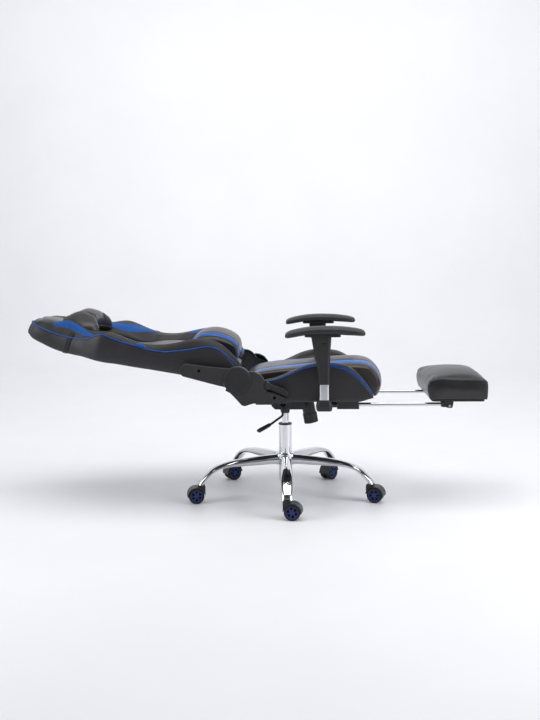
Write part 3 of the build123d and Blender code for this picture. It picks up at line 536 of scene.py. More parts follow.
def board_stock(name, colour):
    """Painted plywood: faint grain lines through the coat."""
    m = Mat(name)
    grain = m.noise(60.0, 6.0, 0.65, m.stretched((0.7, 7.0, 7.0)), 0.6)
    col = m.ramp(grain, [(0.3, times(colour, 0.7)), (0.7, times(colour, 1.4))])
    return m.done(col, m.span(grain, 0.5, 0.7, 0.3, 0.7), m.bump(grain, 0.25, 0.0005), Specular_IOR_Level=0.4)


BLACK = (0.0120, 0.0113, 0.0122)
BLUE = (0.005, 0.070, 0.285)
# grey-brown centre leather; its lightness over the black leather is partly painted sheen
TAUPE_AND_SHEEN = (0.036, 0.030, 0.028)

M_SIDE = leather("leather_side", (0.0156, 0.0151, 0.0192), (0.42, 0.56))
M_BLACK = leather("leather_black", BLACK, (0.42, 0.56), spec=0.36)
M_BLUE = leather("leather_blue", BLUE, (0.42, 0.54), crease=0.3, spec=0.16)
M_PIPE = leather("piping_blue", (0.007, 0.058, 0.245), (0.36, 0.46), grain=900.0, crease=0.1, spec=0.25)
M_CENTRE = leather("leather_centre", TAUPE_AND_SHEEN, (0.26, 0.36), pebbles=0.3)
# the stripe blues on the seat pad and lumbar pillow are lighter than the blue leather: painted sheen
M_SEAT_PAD = leather("leather_seat_pad", TAUPE_AND_SHEEN, (0.26, 0.36), stripes=((0.0725, 0.1135, (0.010, 0.108, 0.42)),), pebbles=0.3, spec=0.4)
M_LUMBAR = leather("leather_lumbar", TAUPE_AND_SHEEN, (0.28, 0.38), stripes=((0.103, 0.130, (0.006, 0.083, 0.33)), (0.130, 0.2, BLACK)), pebbles=0.3, spec=0.34)
M_HEAD = leather("leather_head", (0.022, 0.0215, 0.022), (0.32, 0.44), pebbles=0.34)
M_FOOT = leather("leather_foot", (0.0128, 0.0126, 0.0148), (0.26, 0.37), crease=0.4, pebbles=0.34)
M_THREAD = woven("thread_grey", (0.045, 0.045, 0.05), 6000.0)
M_THREAD_BLUE = woven("thread_blue", (0.02, 0.08, 0.4), 6000.0)
M_LINING = woven("lining_black", (0.012, 0.012, 0.013), 2400.0)
M_PAD = leather("arm_pad_skin", (0.0155, 0.0153, 0.0178), (0.42, 0.55), grain=1100.0, crease=0.12)
M_PLASTIC = plastic("plastic_black", (0.0145, 0.0142, 0.0165))
M_PLASTIC_FINE = plastic("plastic_fine", (0.013, 0.0128, 0.0148), (0.36, 0.48), 1400.0, 0.2)
M_CHROME = metal("chrome", (0.73, 0.74, 0.765))
M_STEEL = metal("steel_zinc", (0.46, 0.46, 0.45), (0.28, 0.42), 40.0, bump=0.08)
M_OXIDE = metal("steel_black_oxide", (0.075, 0.075, 0.08), (0.3, 0.45), 40.0, bump=0.08)
M_COAT = powder("powder_black", (0.014, 0.014, 0.015))
M_RUBBER = rubber("tyre_black", (0.011, 0.011, 0.012))
M_RIM = plastic("rim_navy", (0.009, 0.022, 0.105), (0.28, 0.4), 1200.0, 0.12, 0.5)
M_WEB = woven("webbing_black", (0.016, 0.016, 0.017), 1500.0)
M_STRAP = woven("strap_black", (0.012, 0.012, 0.013), 2600.0)
M_BOARD = board_stock("board_black", (0.016, 0.016, 0.0165))
# near-black disc colour: painted shade in the hollow of the castor wheels
M_PAINTED_HOLE_SHADE = plastic("hole_painted_shade", (0.004, 0.004, 0.004), (0.7, 0.85), 800.0, 0.1, 0.2)

# ---------------------------------------------------------------- backrest
CA, SA = math.cos(math.radians(12)), math.sin(math.radians(12))
HX, HZ = -0.170, 0.498


def back_point(s, y, h):
    """Point at s up the back, h out of its front, all in metres."""
    return (HX - s * CA + h * SA, y, HZ + s * SA + h * CA)


def mm(table):
    f = pchip(table)
    return lambda s: f(s * 1000.0) / 1000.0


B_W = mm([(0, 225), (60, 243), (130, 250), (235, 248), (300, 247), (400, 257), (470, 268), (510, 267), (550, 250), (590, 219), (635, 194), (700, 172), (773, 153), (800, 134), (818, 96)])
B_HP = mm([(0, 32), (16, 46), (25, 53.5), (63, 78.5), (99, 94), (126, 95), (148, 88.5), (194, 70), (240, 55), (287, 42), (336, 39.5), (387, 45), (420, 47.5), (471, 54.5), (511, 61), (543, 47), (583, 25), (618, 17.5), (646, 16.5), (685, 15.5), (715, 18), (743, 22), (772, 28), (797, 34.5), (804, 38), (820, 38)])
B_HC = mm([(0, 48), (15, 62), (50, 89), (87, 110), (122, 119), (154, 116), (189, 107), (201, 102.5), (247, 82), (309, 61), (358, 54.5), (385, 55.5), (426, 61.5), (463, 69), (493, 73), (516, 70.5), (532, 66), (565, 57), (583, 58), (605, 62), (628, 67.5), (654, 73), (677, 68.5), (694, 63), (714, 55), (740, 51), (774, 47.5), (793, 42.5), (808, 36), (820, 28)])
B_YC = mm([(0, 203), (60, 222), (122, 229), (235, 229), (300, 229), (400, 241), (450, 250), (500, 252), (541, 228), (563, 206), (583, 188), (605, 172), (628, 158), (654, 144), (700, 128), (780, 106), (820, 72)])
B_YS = mm([(0, 122), (300, 118), (500, 116), (560, 108), (640, 98), (700, 90), (780, 72), (820, 50)])
B_HB = mm([(0, -20), (30, -27), (100, -30), (212, -32), (286, -35), (398, -38.5), (449, -39), (492, -42), (528, -42), (570, -42.5), (614, -47), (650, -48.5), (689, -47), (719, -42), (748, -35.5), (779, -29), (799, -22.5), (811, -16), (822, -6)])
B_HM = mm([(0, 20), (40, 36), (90, 48), (150, 53), (230, 54), (313, 40), (388, 17), (470, 8), (560, 14), (640, 33), (707, 45), (747, 47), (774, 44.5), (793, 40), (808, 34), (820, 26)])
# edges of the blue leaves, as shares of the way from piping to crest and from crest to seam
L_OUT_A = pchip([(545, 0.03), (554, 0.05), (577, 0.20), (606, 0.30), (648, 0.345), (669, 0.39), (692, 0.41), (710, 0.47), (716, 0.58)])
L_OUT_B = pchip([(545, 0.05), (567, 0.55), (595, 0.88), (620, 0.95), (690, 0.95), (705, 0.88), (712, 0.74), (716, 0.62)])
L_IN_A = pchip([(372, 0.07), (412, 0.075), (440, 0.12), (460, 0.18), (480, 0.26), (500, 0.32), (530, 0.31), (545, 0.22), (557, 0.13), (568, 0.08), (575, 0.07)])
L_IN_B = pchip([(372, 0.09), (390, 0.14), (415, 0.345), (447, 0.545), (490, 0.675), (525, 0.60), (550, 0.46), (565, 0.25), (575, 0.10)])
L_LOW_A = pchip([(30, 0.15), (120, 0.12), (200, 0.07), (246, 0.12)])
L_LOW_B = pchip([(30, 0.5), (120, 0.5), (200, 0.42), (240, 0.17), (246, 0.14)])


def back_half(s):
    """Half section from the rear centre round the side to the front centre, as (y, h)."""
    w, hp, hc, yc, ys, hb, hm = B_W(s), B_HP(s), B_HC(s), B_YC(s), B_YS(s), B_HB(s), B_HM(s)
    k = s * 1000.0
    pts = [(0, hb + 0.006), (0.4 * w, hb + 0.006), (0.76 * w, hb + 0.006), (w - 0.02, hb + 0.005), (w - 0.012, hb + 0.001), (w - 0.004, hb + 0.006), (w, hb + 0.018)]
    pts += [(w + 0.002, hb + 0.018 + 0.5 * (hp - hb - 0.028)), (w, hp - 0.010), (w - 0.003, hp - 0.003)]
    wo, ho = w - 0.006, hp + 0.002
    if 545 <= k <= 716:
        oa, ob = L_OUT_A(k), L_OUT_B(k)
    else:
        oa = ob = 0.04 if k < 545 else 0.60
    oa, ob = max(oa, 0.03), max(ob, oa + 0.02)
    inner_low = k <= 246
    if inner_low:
        ia, ib = L_LOW_A(k), L_LOW_B(k)
    elif 372 <= k <= 575:
        ia, ib = L_IN_A(k), L_IN_B(k)
    else:
        ia, ib = 0.35, 0.37
    ib = max(ib, ia + 0.02)

    def outer(t):
        a = t * math.pi / 2
        return (yc + (wo - yc) * math.cos(a), ho + (hc - ho) * math.sin(a))

    hs = hm - 0.001

    def inner(t):
        a = t * math.pi / 2
        return (yc + (ys - yc) * math.sin(a), hs + (hc - hs) * math.cos(a))

    pts += [outer(0.0), outer(oa), outer((oa + ob) / 2), outer(ob), outer(max(0.975, ob + 0.01)), inner(0.045), inner(ia), inner((ia + ib) / 2), inner(ib), inner(max(0.86, ib + 0.04))]
    pts += [(ys + 0.004, hs + 0.003), (ys, hs - 0.0035), (ys - 0.004, hs + 0.0015), (ys - 0.018, hm + 0.004), (0.5 * ys, hm + 0.006), (0, hm + 0.006)]
    return pts


COL_PIPE, COL_LEAF_OUT, COL_CREST, COL_LEAF_IN, COL_SEAM, HALF_COLS = 9, 11, 14, 16, 21, 26
stations = [0.010, 0.018, 0.028] + list(np.arange(0.040, 0.7961, 0.0126)) + [0.802, 0.808]
back_rings = []
caps = [(0.0060, 0.55), (0.0068, 0.82), (0.0082, 0.95)]
tops = [(0.8125, 0.965), (0.8165, 0.88), (0.8190, 0.74), (0.8203, 0.45)]


def back_ring(s, k=1.0, at=None):
    half = back_half(at if at is not None else s)
    mid = sum(p[1] for p in half) / len(half)
    half = [(y * (1 - (1 - k) * 0.55), mid + (h - mid) * k) for y, h in half]
    full = half + [(-y, h) for y, h in reversed(half[1:-1])]
    lean = 0.30 * smooth(s, 0.770, 0.815)
    return [back_point(s - lean * max(0.0, h), y, h) for y, h in full]


for s, k in caps:
    back_rings.append(back_ring(s, k, 0.010))
for s in stations:
    back_rings.append(back_ring(s))
for s, k in tops:
    back_rings.append(back_ring(s, k, 0.808))
back_s = [c[0] for c in caps] + stations + [t[0] for t in tops]
bv, bf, bw = loft(back_rings)
B_COLS = 2 * HALF_COLS - 2
assert len(back_rings[0]) == B_COLS, len(back_rings[0])


def back_mat(i, j):
    j = j if j < HALF_COLS - 1 else B_COLS - 1 - j       # mirror onto the first half
    if i < 0 or i >= len(back_s) - 1:
        return 0 if i < 0 else 0
    s = 500.0 * (back_s[i] + back_s[i + 1])
    if j < COL_PIPE:
        return 4 if j < 3 else 0
    if j in (COL_LEAF_OUT - 0, COL_LEAF_OUT + 1) and 549 <= s <= 716:
        return 2
    if j in (COL_LEAF_IN, COL_LEAF_IN + 1) and (378 <= s <= 572 or s <= 243):
        return 2
    if j >= COL_SEAM:
        return 3
    return 1


back_faces_mat = [back_mat(i, j) for i, j in bw]
backrest = piece("backrest_shell", bv, outward(bv, bf), [M_SIDE, M_BLACK, M_BLUE, M_CENTRE, M_LINING], back_faces_mat, sub=2)
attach(backrest, "backrest")
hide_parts("back_cushion", "back_frame")

back_tree = surface(backrest)


def back_line(col, s0, s1, sign, step=0.006, dy=0.0, dh=0.0):
    pts = []
    for s in np.arange(s0, s1 + 1e-6, step):
        y, h = back_half(s)[col]
        pts.append(back_point(s, sign * (y + dy), h + dh))
    return pts


# blue piping: one welt from the hinge up one side, round the head and down the other
run = back_line(COL_PIPE, 0.010, 0.800, 1, dy=-0.001, dh=0.002)
over = [back_point(0.8165 - 0.010 * smooth(abs(y), 0.09, 0.13), y, 0.036 + 0.004 * math.cos(y * 12)) for y in np.linspace(0.112, -0.112, 26)]
run2 = back_line(COL_PIPE, 0.010, 0.800, -1, dy=-0.001, dh=0.002)[::-1]
pipe = welt("backrest_piping", back_tree, run + over + run2, 0.0027, M_PIPE, lift=0.0008)
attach(pipe, "backrest")

# rear cover, a separate sewn panel with a crowned face
rear_rings = []
rear_s = [0.024, 0.026, 0.034] + list(np.arange(0.05, 0.771, 0.02)) + [0.784, 0.792, 0.794]
for n, s in enumerate(rear_s):
    w, hb = B_W(s) - 0.014, B_HB(s)
    k = {0: 0.96, 1: 0.99}.get(n, {len(rear_s) - 1: 0.94, len(rear_s) - 2: 0.985}.get(n, 1.0))
    w *= k
    lift = {0: 0.004, 1: 0.0015, len(rear_s) - 1: 0.004, len(rear_s) - 2: 0.0015}.get(n, 0.0)
    sec = []
    for t in (-1.0, -0.985, -0.94, -0.8, -0.5, -0.2, 0.2, 0.5, 0.8, 0.94, 0.985, 1.0):
        drop = 0.0035 * (1 - abs(t) ** 3) - (0.004 if abs(t) > 0.99 else 0.001 if abs(t) > 0.97 else 0.0)
        sec.append((t * w, hb - drop + lift + 0.0015))
    sec += [(y, hb + 0.009) for y in np.array((0.97, 0.5, 0.0, -0.5, -0.97)) * w]
    rear_rings.append([back_point(s, y, h) for y, h in sec])
rv, rf, _ = loft(rear_rings)
rear = piece("backrest_rear_cover", rv, outward(rv, rf), [M_SIDE], sub=1)
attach(rear, "backrest")
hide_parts("back_panel")
rear_tree = surface(rear)
rear_edge = [back_point(s, (B_W(s) - 0.022), B_HB(s)) for s in np.arange(0.036, 0.781, 0.01)]
rear_edge += [back_point(0.7845, y, B_HB(0.7845)) for y in np.linspace(0.112, -0.112, 16)]
rear_edge += [back_point(s, -(B_W(s) - 0.022), B_HB(s)) for s in np.arange(0.780, 0.035, -0.01)]

runs = []
for sign in (1, -1):
    runs.append(back_line(COL_PIPE, 0.02, 0.79, sign, dh=-0.007))
    runs.append(back_line(COL_SEAM, 0.05, 0.79, sign, dy=0.009))
    runs.append(back_line(COL_SEAM, 0.05, 0.79, sign, dy=-0.008))
    runs.append(back_line(COL_LEAF_IN + 2, 0.382, 0.566, sign))
    runs.append(back_line(COL_LEAF_IN, 0.382, 0.566, sign))
    runs.append(back_line(COL_LEAF_OUT, 0.560, 0.708, sign))
sewn = stitches("backrest_stitching", back_tree, runs, M_THREAD)
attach(sewn, "backrest")
sewn_rear = stitches("rear_cover_stitching", rear_tree, [rear_edge], M_THREAD)
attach(sewn_rear, "backrest")

# blue pull tabs on the side edges
for sign, hand in ((1, "left"), (-1, "right")):
    tab = []
    for s in np.linspace(0.352, 0.388, 7):
        y, h = back_half(s)[COL_PIPE]
        k = math.sqrt(max(0.0, 1 - ((s - 0.370) / 0.0185) ** 2))
        row = []
        for a in np.linspace(0, 2 * math.pi, 10, endpoint=False):
            row.append(back_point(s, sign * (y - 0.005 + 0.011 * (0.35 + 0.65 * k) * math.cos(a)), h + 0.006 + 0.0092 * (0.3 + 0.7 * k) * math.sin(a)))
        tab.append(row)
    tv, tf, _ = loft(tab)
    t = piece(f"edge_tab_{hand}", tv, outward(tv, tf), [M_BLUE], sub=1)
    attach(t, "backrest")

# ---------------------------------------------------------------- head pillow
P_S, P_H = 0.634, 0.041
EP, EQ = (0.979, 0.204), (-0.204, 0.979)


def head_point(p, y, q):
    return back_point(P_S + p * EP[0] + q * EQ[0], y, P_H + p * EP[1] + q * EQ[1])


def head_outline(y):
    """Extent of the bone-shaped pillow along p at each y."""
    t = min(abs(y) / 0.162, 1.0)
    ear = math.exp(-((t - 0.74) / 0.22) ** 2)
    end = math.sqrt(max(0.0, 1 - max(0.0, (t - 0.62) / 0.38) ** 3.2))
    return -(0.056 + 0.026 * ear) * end - 0.004, (0.050 + 0.024 * ear) * end - 0.004, end


def head_wide(p):
    """The lobes on the hip side reach further out than those at the top."""
    return 1.19 - 0.34 * min(max((p + 0.08) / 0.14, 0.0), 1.0)


def head_sag(p, y):
    """How far the ends hang down beside the panel."""
    return 0.014 * smooth(abs(y), 0.085, 0.160) * (0.25 + 0.75 * smooth(p, -0.075, 0.03))


head_rings = []
for y in np.concatenate([[-0.1615, -0.1590], np.linspace(-0.154, 0.154, 29), [0.1590, 0.1615]]):
    lo, hi, end = head_outline(y)
    t = abs(y) / 0.162
    mid, half = (lo + hi) / 2, max((hi - lo) / 2, 0.006)
    thick = 0.064 * (0.86 + 0.14 * math.cos(t * math.pi * 0.9)) * max(end, 0.12) ** 0.75
    ring = []
    for a in np.linspace(0, 2 * math.pi, 28, endpoint=False):
        c, s_ = math.cos(a), math.sin(a)
        p = mid + half * np.sign(c) * abs(c) ** 0.8
        skew = 1.0 - 0.32 * c if s_ > 0 else 1.0
        q = 0.016 + (thick - 0.012) * skew * abs(s_) ** 0.85 if s_ >= 0 else 0.016 - 0.013 * abs(s_) ** 0.8
        ring.append(head_point(p, y * head_wide(p), q - head_sag(p, y)))
    head_rings.append(ring)
hv, hf, _ = loft(head_rings)
head = piece("head_pillow_cover", hv, outward(hv, hf), [M_HEAD])
puff(head, 0.005, 4.0, 0.010)


def head_local(co):
    """Inverse of head_point for an array of points: columns p, y, q."""
    x, z = co[:, 0] - HX, co[:, 2] - HZ
    s, h = -x * CA + z * SA, x * SA + z * CA
    ds, dh = s - P_S, h - P_H
    return np.stack([ds * EP[0] + dh * EP[1], co[:, 1], ds * EQ[0] + dh * EQ[1]], axis=1)


def head_shape(co):
    l = head_local(co)
    p, y, q = l[:, 0], l[:, 1], l[:, 2]
    up = np.clip((q - 0.02) / 0.03, 0, 1)
    # waist folds that run from the neck side over the top, deepest beside the lobes
    fold = np.exp(-((np.abs(y) - 0.074 - 0.12 * np.abs(p)) / 0.0075) ** 2) * np.clip((-p + 0.01) / 0.05, 0, 1)
    crease = np.exp(-((p - 0.050 + 0.25 * (np.abs(y) - 0.1)) / 0.006) ** 2) * np.clip((np.abs(y) - 0.045) / 0.03, 0, 1)
    ripple = 0.0012 * np.sin(y * 310 + 3 * np.sin(p * 90)) * np.clip((np.abs(p) - 0.035) / 0.04, 0, 1)
    q = q - up * (0.0075 * fold + 0.0055 * crease) + ripple * (0.4 + 0.6 * up)
    q = np.maximum(q, 0.001 - 0.014 * np.clip((np.abs(y) - 0.085) / 0.075, 0, 1))
    s = P_S + p * EP[0] + q * EQ[0]
    h = P_H + p * EP[1] + q * EQ[1]
    return np.stack([HX - s * CA + h * SA, y, HZ + s * SA + h * CA], axis=1)


reshape(head, head_shape)
subdivide(head)
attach(head, "backrest")
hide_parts("head_pillow")
head_tree = surface(head)
rim = []
for y in np.linspace(-0.156, 0.156, 53):
    p = head_outline(y)[0] - 0.012
    rim.append(head_point(p, y * head_wide(p), 0.020 - head_sag(p, y)))
for y in np.linspace(0.156, -0.156, 53):
    p = head_outline(y)[1] + 0.012
    rim.append(head_point(p, y * head_wide(p), 0.018 - head_sag(p, y)))
head_welt = welt("head_pillow_welt", head_tree, np.array(rim), 0.0023, M_HEAD, lift=0.0006, closed=True, step=0.005, seg=8)
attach(head_welt, "backrest")

# strap of the head pillow: out of the seam under each blue leaf, over the side and round the rear
strap_rows = []
wrap_tree = surface(backrest, rear)
for s0 in (0.624, 0.629, 0.6345, 0.640, 0.645):
    side = []
    # it slants towards the head on its way down the side
    for n, k in enumerate((11, 10, 9, 8, 7, 6, 5, 4)):
        s = s0 + 0.0026 * n
        y, h = back_half(s)[k]
        side.append(back_point(s, y, h))
    side += [back_point(s, 0.9 * B_W(s) * t, B_HB(s) - 0.003) for t in np.linspace(0.98, 0.0, 8)]
    full = np.array(side + [(x, -y, z) for x, y, z in reversed(side[:-1])])
    d = np.concatenate([[0], np.cumsum(np.linalg.norm(np.diff(full, axis=0), axis=1))])
    t = np.linspace(0, d[-1], 161)
    strap_rows.append(settle(wrap_tree, np.stack([np.interp(t, d, full[:, k]) for k in range(3)], axis=1)))
# both ends dive into the seam
tuck = np.concatenate([np.linspace(0.0042, 0.0, 4), np.zeros(153), np.linspace(0.0, 0.0042, 4)])[:, None]
outer_rows = [soften(p + n * (0.0026 - tuck), 2) for p, n in strap_rows]
inner_rows = [soften(p + n * (0.0004 - tuck), 2) for p, n in strap_rows]
count = len(outer_rows[0])
rings = []
for i in range(count):
    rings.append([r[i] for r in outer_rows] + [r[i] for r in reversed(inner_rows)])
sv, sf, _ = loft(rings)
strap = piece("head_pillow_strap_band", sv, outward(sv, sf), [M_STRAP], sub=1)
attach(strap, "backrest")
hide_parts("head_pillow_strap")

# ---------------------------------------------------------------- lumbar pillow
LUM = [(18, 38), (14, 56), (20, 80), (28, 106), (46, 123), (74, 134), (105, 138), (132, 136), (168, 123), (190, 103), (203, 83), (212, 66), (214, 58), (150, 58), (90, 53), (45, 43)]


def ring_round(pts, n):
    """Closed Catmull-Rom through (a, b) points, resampled to n evenly spaced ones."""
    p = np.array(pts, float)
    m = len(p)
    dense = []
    for i in range(m):
        p0, p1, p2, p3 = p[(i - 1) % m], p[i], p[(i + 1) % m], p[(i + 2) % m]
        for t in np.linspace(0, 1, 12, endpoint=False):
            dense.append(0.5 * (2 * p1 + (p2 - p0) * t + (2 * p0 - 5 * p1 + 4 * p2 - p3) * t * t + (3 * p1 - p0 - 3 * p2 + p3) * t ** 3))
    d = np.vstack([dense, dense[:1]])
    a = np.concatenate([[0], np.cumsum(np.linalg.norm(np.diff(d, axis=0), axis=1))])
    t = np.linspace(0, a[-1], n, endpoint=False)
    return np.stack([np.interp(t, a, d[:, 0]), np.interp(t, a, d[:, 1])], axis=1)


lum_ring = ring_round(LUM, 44) / 1000.0
lum_mid = np.array([0.122, 0.083])
lum_rings = []
for y in np.concatenate([[-0.146, -0.144, -0.140], np.linspace(-0.133, 0.133, 23), [0.140, 0.144, 0.146]]):
    t = abs(y) / 0.146
    k = 1.0 - 0.03 * t ** 2 - 0.10 * max(0.0, (t - 0.84) / 0.16) ** 2.2
    kh = 1.0 - 0.27 * t ** 2 - 0.30 * max(0.0, (t - 0.75) / 0.25) ** 2
    ring = []
    for a, b in lum_ring:
        da, db = a - lum_mid[0], b - lum_mid[1]
        ring.append(back_point(lum_mid[0] + da * k, y, lum_mid[1] + db * (kh if db > 0 else 0.97)))
    lum_rings.append(ring)
lv, lf, _ = loft(lum_rings)
lumbar = piece("lumbar_pillow_cover", lv, outward(lv, lf), [M_LUMBAR])
puff(lumbar, 0.005, 4.0, 0.007)


def lumbar_shape(co):
    x, z = co[:, 0] - HX, co[:, 2] - HZ
    s, h = -x * CA + z * SA, x * SA + z * CA
    y = co[:, 1]
    # sewn lines beside the stripes draw the cover in
    for at in (0.103, 0.130):
        draw = 0.0022 * np.exp(-((np.abs(y) - at) / 0.0035) ** 2)
        ds, dh = s - lum_mid[0], h - (lum_mid[1] - 0.02)
        r = np.sqrt(ds ** 2 + dh ** 2)
        s, h = s - ds / r * draw, h - dh / r * draw
    s = np.maximum(s, np.where(h > 0.066, 0.018, 0.0105))
    return np.stack([HX - s * CA + h * SA, y, HZ + s * SA + h * CA], axis=1)


reshape(lumbar, lumbar_shape)
subdivide(lumbar)
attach(lumbar, "backrest")
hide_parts("lumbar_pillow")
lum_tree = surface(lumbar)
welts = []
for sign in (1, -1):
    path = [back_point(lum_mid[0] + (a - lum_mid[0]) * 0.97, sign * 0.1445, lum_mid[1] + (b - lum_mid[1]) * (0.5 if b > lum_mid[1] else 0.95)) for a, b in lum_ring]
    w = welt(f"lumbar_welt_{'left' if sign > 0 else 'right'}", lum_tree, np.array(path), 0.0024, M_CENTRE, lift=0.0008, closed=True, step=0.005, seg=8)
    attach(w, "backrest")
runs = []
for at, k in ((0.1003, 0.875), (0.1328, 0.69), (-0.1003, 0.875), (-0.1328, 0.69)):
    runs.append([back_point(lum_mid[0] + (a - lum_mid[0]) * 1.02, at, lum_mid[1] + (b - lum_mid[1]) * (k if b > lum_mid[1] else 1.0)) for a, b in lum_ring if b > 0.070])
lum_sewn = stitches("lumbar_stitching", lum_tree, runs, M_THREAD)
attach(lum_sewn, "backrest")

# ---------------------------------------------------------------- seat
PAD = [(-146, 442), (-146, 468), (-145.5, 484), (-142, 492), (-132, 497), (-122, 502.5), (-110, 509.5), (-90, 515), (-60, 520), (-12, 526.5), (50, 532.5), (106, 541), (150, 545.5), (189, 548.5), (237, 551.5),
       (285, 551.5), (310, 546.5), (327, 540), (345, 526), (359.5, 507), (368, 490), (371.5, 472), (372.5, 456), (370, 440), (366, 428), (358, 412), (349, 404.5), (337, 402), (326, 404), (320, 413), (317, 437),
       (285, 437), (230, 437), (170, 437), (110, 437), (50, 437), (-10, 437), (-60, 437), (-100, 437), (-130, 437)]
PAD_TOP = pchip([(x, z) for x, z in PAD[3:18]])
pad = np.array(PAD) / 1000.0
nxt, prv = np.roll(pad, -1, axis=0), np.roll(pad, 1, axis=0)
tangent = (nxt - prv) / np.linalg.norm(nxt - prv, axis=1)[:, None]
normal = np.stack([-tangent[:, 1], tangent[:, 0]], axis=1)           # left of the direction of travel, outward on this loop
normal = np.where((pad[:, 1] < 0.4375)[:, None] & (pad[:, 0] < 0.31)[:, None], 0, normal)
pad_rings, pad_y = [], [-0.1515, -0.1505, -0.147, -0.1405, -0.130, -0.122, -0.1145, -0.1135, -0.1125, -0.093, -0.0735, -0.0725, -0.0715, -0.058, -0.04, -0.02]
pad_y = pad_y + [0.0] + [-y for y in reversed(pad_y)]
for y in pad_y:
    t = abs(y)
    inset = np.array([(0.0024 + 0.0044 * smooth(x, -0.02, 0.15)) * (t / 0.093) ** 2 for x, z in pad]) + 0.008 * max(0.0, (t - 0.136) / 0.0155) ** 2
    inset += 0.0014 * (math.exp(-((t - 0.1135) / 0.0016) ** 2) + math.exp(-((t - 0.0725) / 0.0016) ** 2))
    ring = pad - normal * inset[:, None]
    ring[:, 1] = np.maximum(ring[:, 1], 0.4015)
    ring[:, 0] = np.maximum(ring[:, 0], -0.146)
    pad_rings.append([(x, y, z) for x, z in ring])
pv, pf, pw = loft(pad_rings)
seat_pad = piece("seat_pad_cover", pv, outward(pv, pf), [M_SEAT_PAD], sub=2)
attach(seat_pad, "seat")
pad_tree = surface(seat_pad)

S_P = mm([(-112, 477), (-65, 487), (-36, 492), (-15, 499), (10, 509), (35, 520), (61, 531), (85, 538.5), (107, 543), (135, 545), (165, 543), (192, 538), (217, 531), (255, 511), (294, 475), (312, 452), (325, 430)])
S_C = mm([(-112, 4), (0, 6), (60, 8), (113, 9), (151, 10.5), (188, 13.5), (226, 16.5), (255, 16.5), (294, 11), (312, 6.5), (325, 2)])
S_RISE = mm([(280, 0), (286, 0.6), (293, 5), (308, 9.5), (325, 14)])
seat_x = [-0.1115, -0.1095, -0.105] + list(np.arange(-0.096, 0.3041, 0.0125)) + [0.311, 0.317, 0.3215, 0.3245]
shells = []
for sign, hand in ((1, "left"), (-1, "right")):
    rings = []
    for n, x in enumerate(seat_x):
        zp, zc = S_P(x), S_P(x) + S_C(x)
        zs = min(PAD_TOP(x * 1000) / 1000 - 0.022, zc - 0.012)
        yc, wo, ho = 0.229, 0.2475, zp + 0.003
        rise = min(S_RISE(x), max(zp - 0.4228, 0.0))
        zb = 0.4128 + rise
        sec = [(0.2515, zb), (0.2545, min(zb + 0.0047, zp - 0.0075)), (0.2555, min(zb + 0.0172, zb + 0.3 * (zp - zb))), (0.2560, zb + 0.62 * (zp - zb)), (0.2548, max(zp - 0.009, zb + 0.7 * (zp - zb))), (0.2520, zp - 0.002)]
        for t in (0.0, 0.3, 0.62, 0.88):
            a = t * math.pi / 2
            sec.append((yc + (wo - yc) * math.cos(a), ho + (zc - ho) * math.sin(a)))
        for t in (0.06, 0.34, 0.6, 0.82, 1.0):
            a = t * math.pi / 2
            sec.append((yc + (0.1495 - yc) * math.sin(a), zs + (zc - zs) * math.cos(a)))
        low = min(0.444, zs - 0.004)
        sec += [(0.1475, (zs + low) / 2), (0.1480, low + 0.002), (0.153, low), (0.19, low), (0.2235, low), (0.2260, (low + zb) / 2), (0.2270, zb + 0.0002), (0.2300, zb - 0.0006), (0.2450, zb - 0.0006)]
        k = {0: 0.93, 1: 0.98, len(seat_x) - 1: 0.72, len(seat_x) - 2: 0.9}.get(n, 1.0)
        mid = (0.2, (zp + 0.4128) / 2)
        rings.append([(x, sign * (mid[0] + (y - mid[0]) * (k if k < 1 else 1)), mid[1] + (z - mid[1]) * k) for y, z in sec])
    v, f, w = loft(rings)
    mats = [0 if j < 5 or j > 16 else 1 for i, j in w]
    o = piece(f"seat_bolster_{hand}", v, outward(v, f), [M_SIDE, M_BLACK], mats, sub=2)
    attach(o, "seat")
    shells.append(o)
    tree = surface(o)
    line = [(x, sign * 0.2505, S_P(x) + 0.001) for x in np.arange(-0.108, 0.3221, 0.006)]
    p = welt(f"seat_piping_{hand}", tree, line, 0.0027, M_PIPE, lift=0.0008)
    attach(p, "seat")
    # a second cord runs beside it round the front
    line = [(x, sign * (0.2505 - 0.0052 * smooth(x, 0.10, 0.17)), S_P(x) + 0.001 + 0.0045 * smooth(x, 0.10, 0.17)) for x in np.arange(0.096, 0.3205, 0.006)]
    p = welt(f"seat_piping_inner_{hand}", tree, line, 0.0018, M_PIPE, lift=0.0005)
    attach(p, "seat")
    st = stitches(f"seat_bolster_stitching_{hand}", tree, [[(x, sign * 0.2555, S_P(x) - 0.007) for x in np.arange(-0.1, 0.30, 0.006)]], M_THREAD)
    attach(st, "seat")
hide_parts("seat_cushion")
runs = []
for at in (0.0695, 0.1168, -0.0695, -0.1168):
    runs.append([(x, at, z + 0.002) for x, z in pad[3:24]])
pad_sewn = stitches("seat_pad_stitching", pad_tree, runs, M_THREAD)
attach(pad_sewn, "seat")

# ---------------------------------------------------------------- foot rest
F0, F1, FH, FB = 0.528, 0.757, 0.182, 0.399
FX = (F0 + F1) / 2
# side outline, from the bottom rear edge over the top to the bottom front edge
F_SIDE = [(541, 399.5), (534.5, 412), (530.5, 428), (529, 447), (530.5, 463), (534, 473), (542, 480.5), (553, 486), (569, 491), (590, 495.5), (612, 498.3), (634, 500.3), (655, 501), (677, 500.6), (697, 499.3), (715, 496.5),
          (730, 492.7), (743, 487.5), (751, 481), (755, 472), (756, 460), (756, 440), (756, 420), (755.5, 408), (752, 399.5)]
F_EDGE = mm([(530, 469), (534, 475), (542, 481), (556, 484.5), (585, 486), (628, 485.5), (670, 484.5), (712, 482.5), (738, 480), (750, 476.5), (756, 470)])
F_CROWN = mm([(530, 470), (534, 477), (542, 485), (553, 491), (569, 496.5), (590, 501), (612, 504), (640, 506), (660, 506), (690, 504.5), (710, 501.5), (728, 496), (741, 489), (750, 481), (756, 471)])


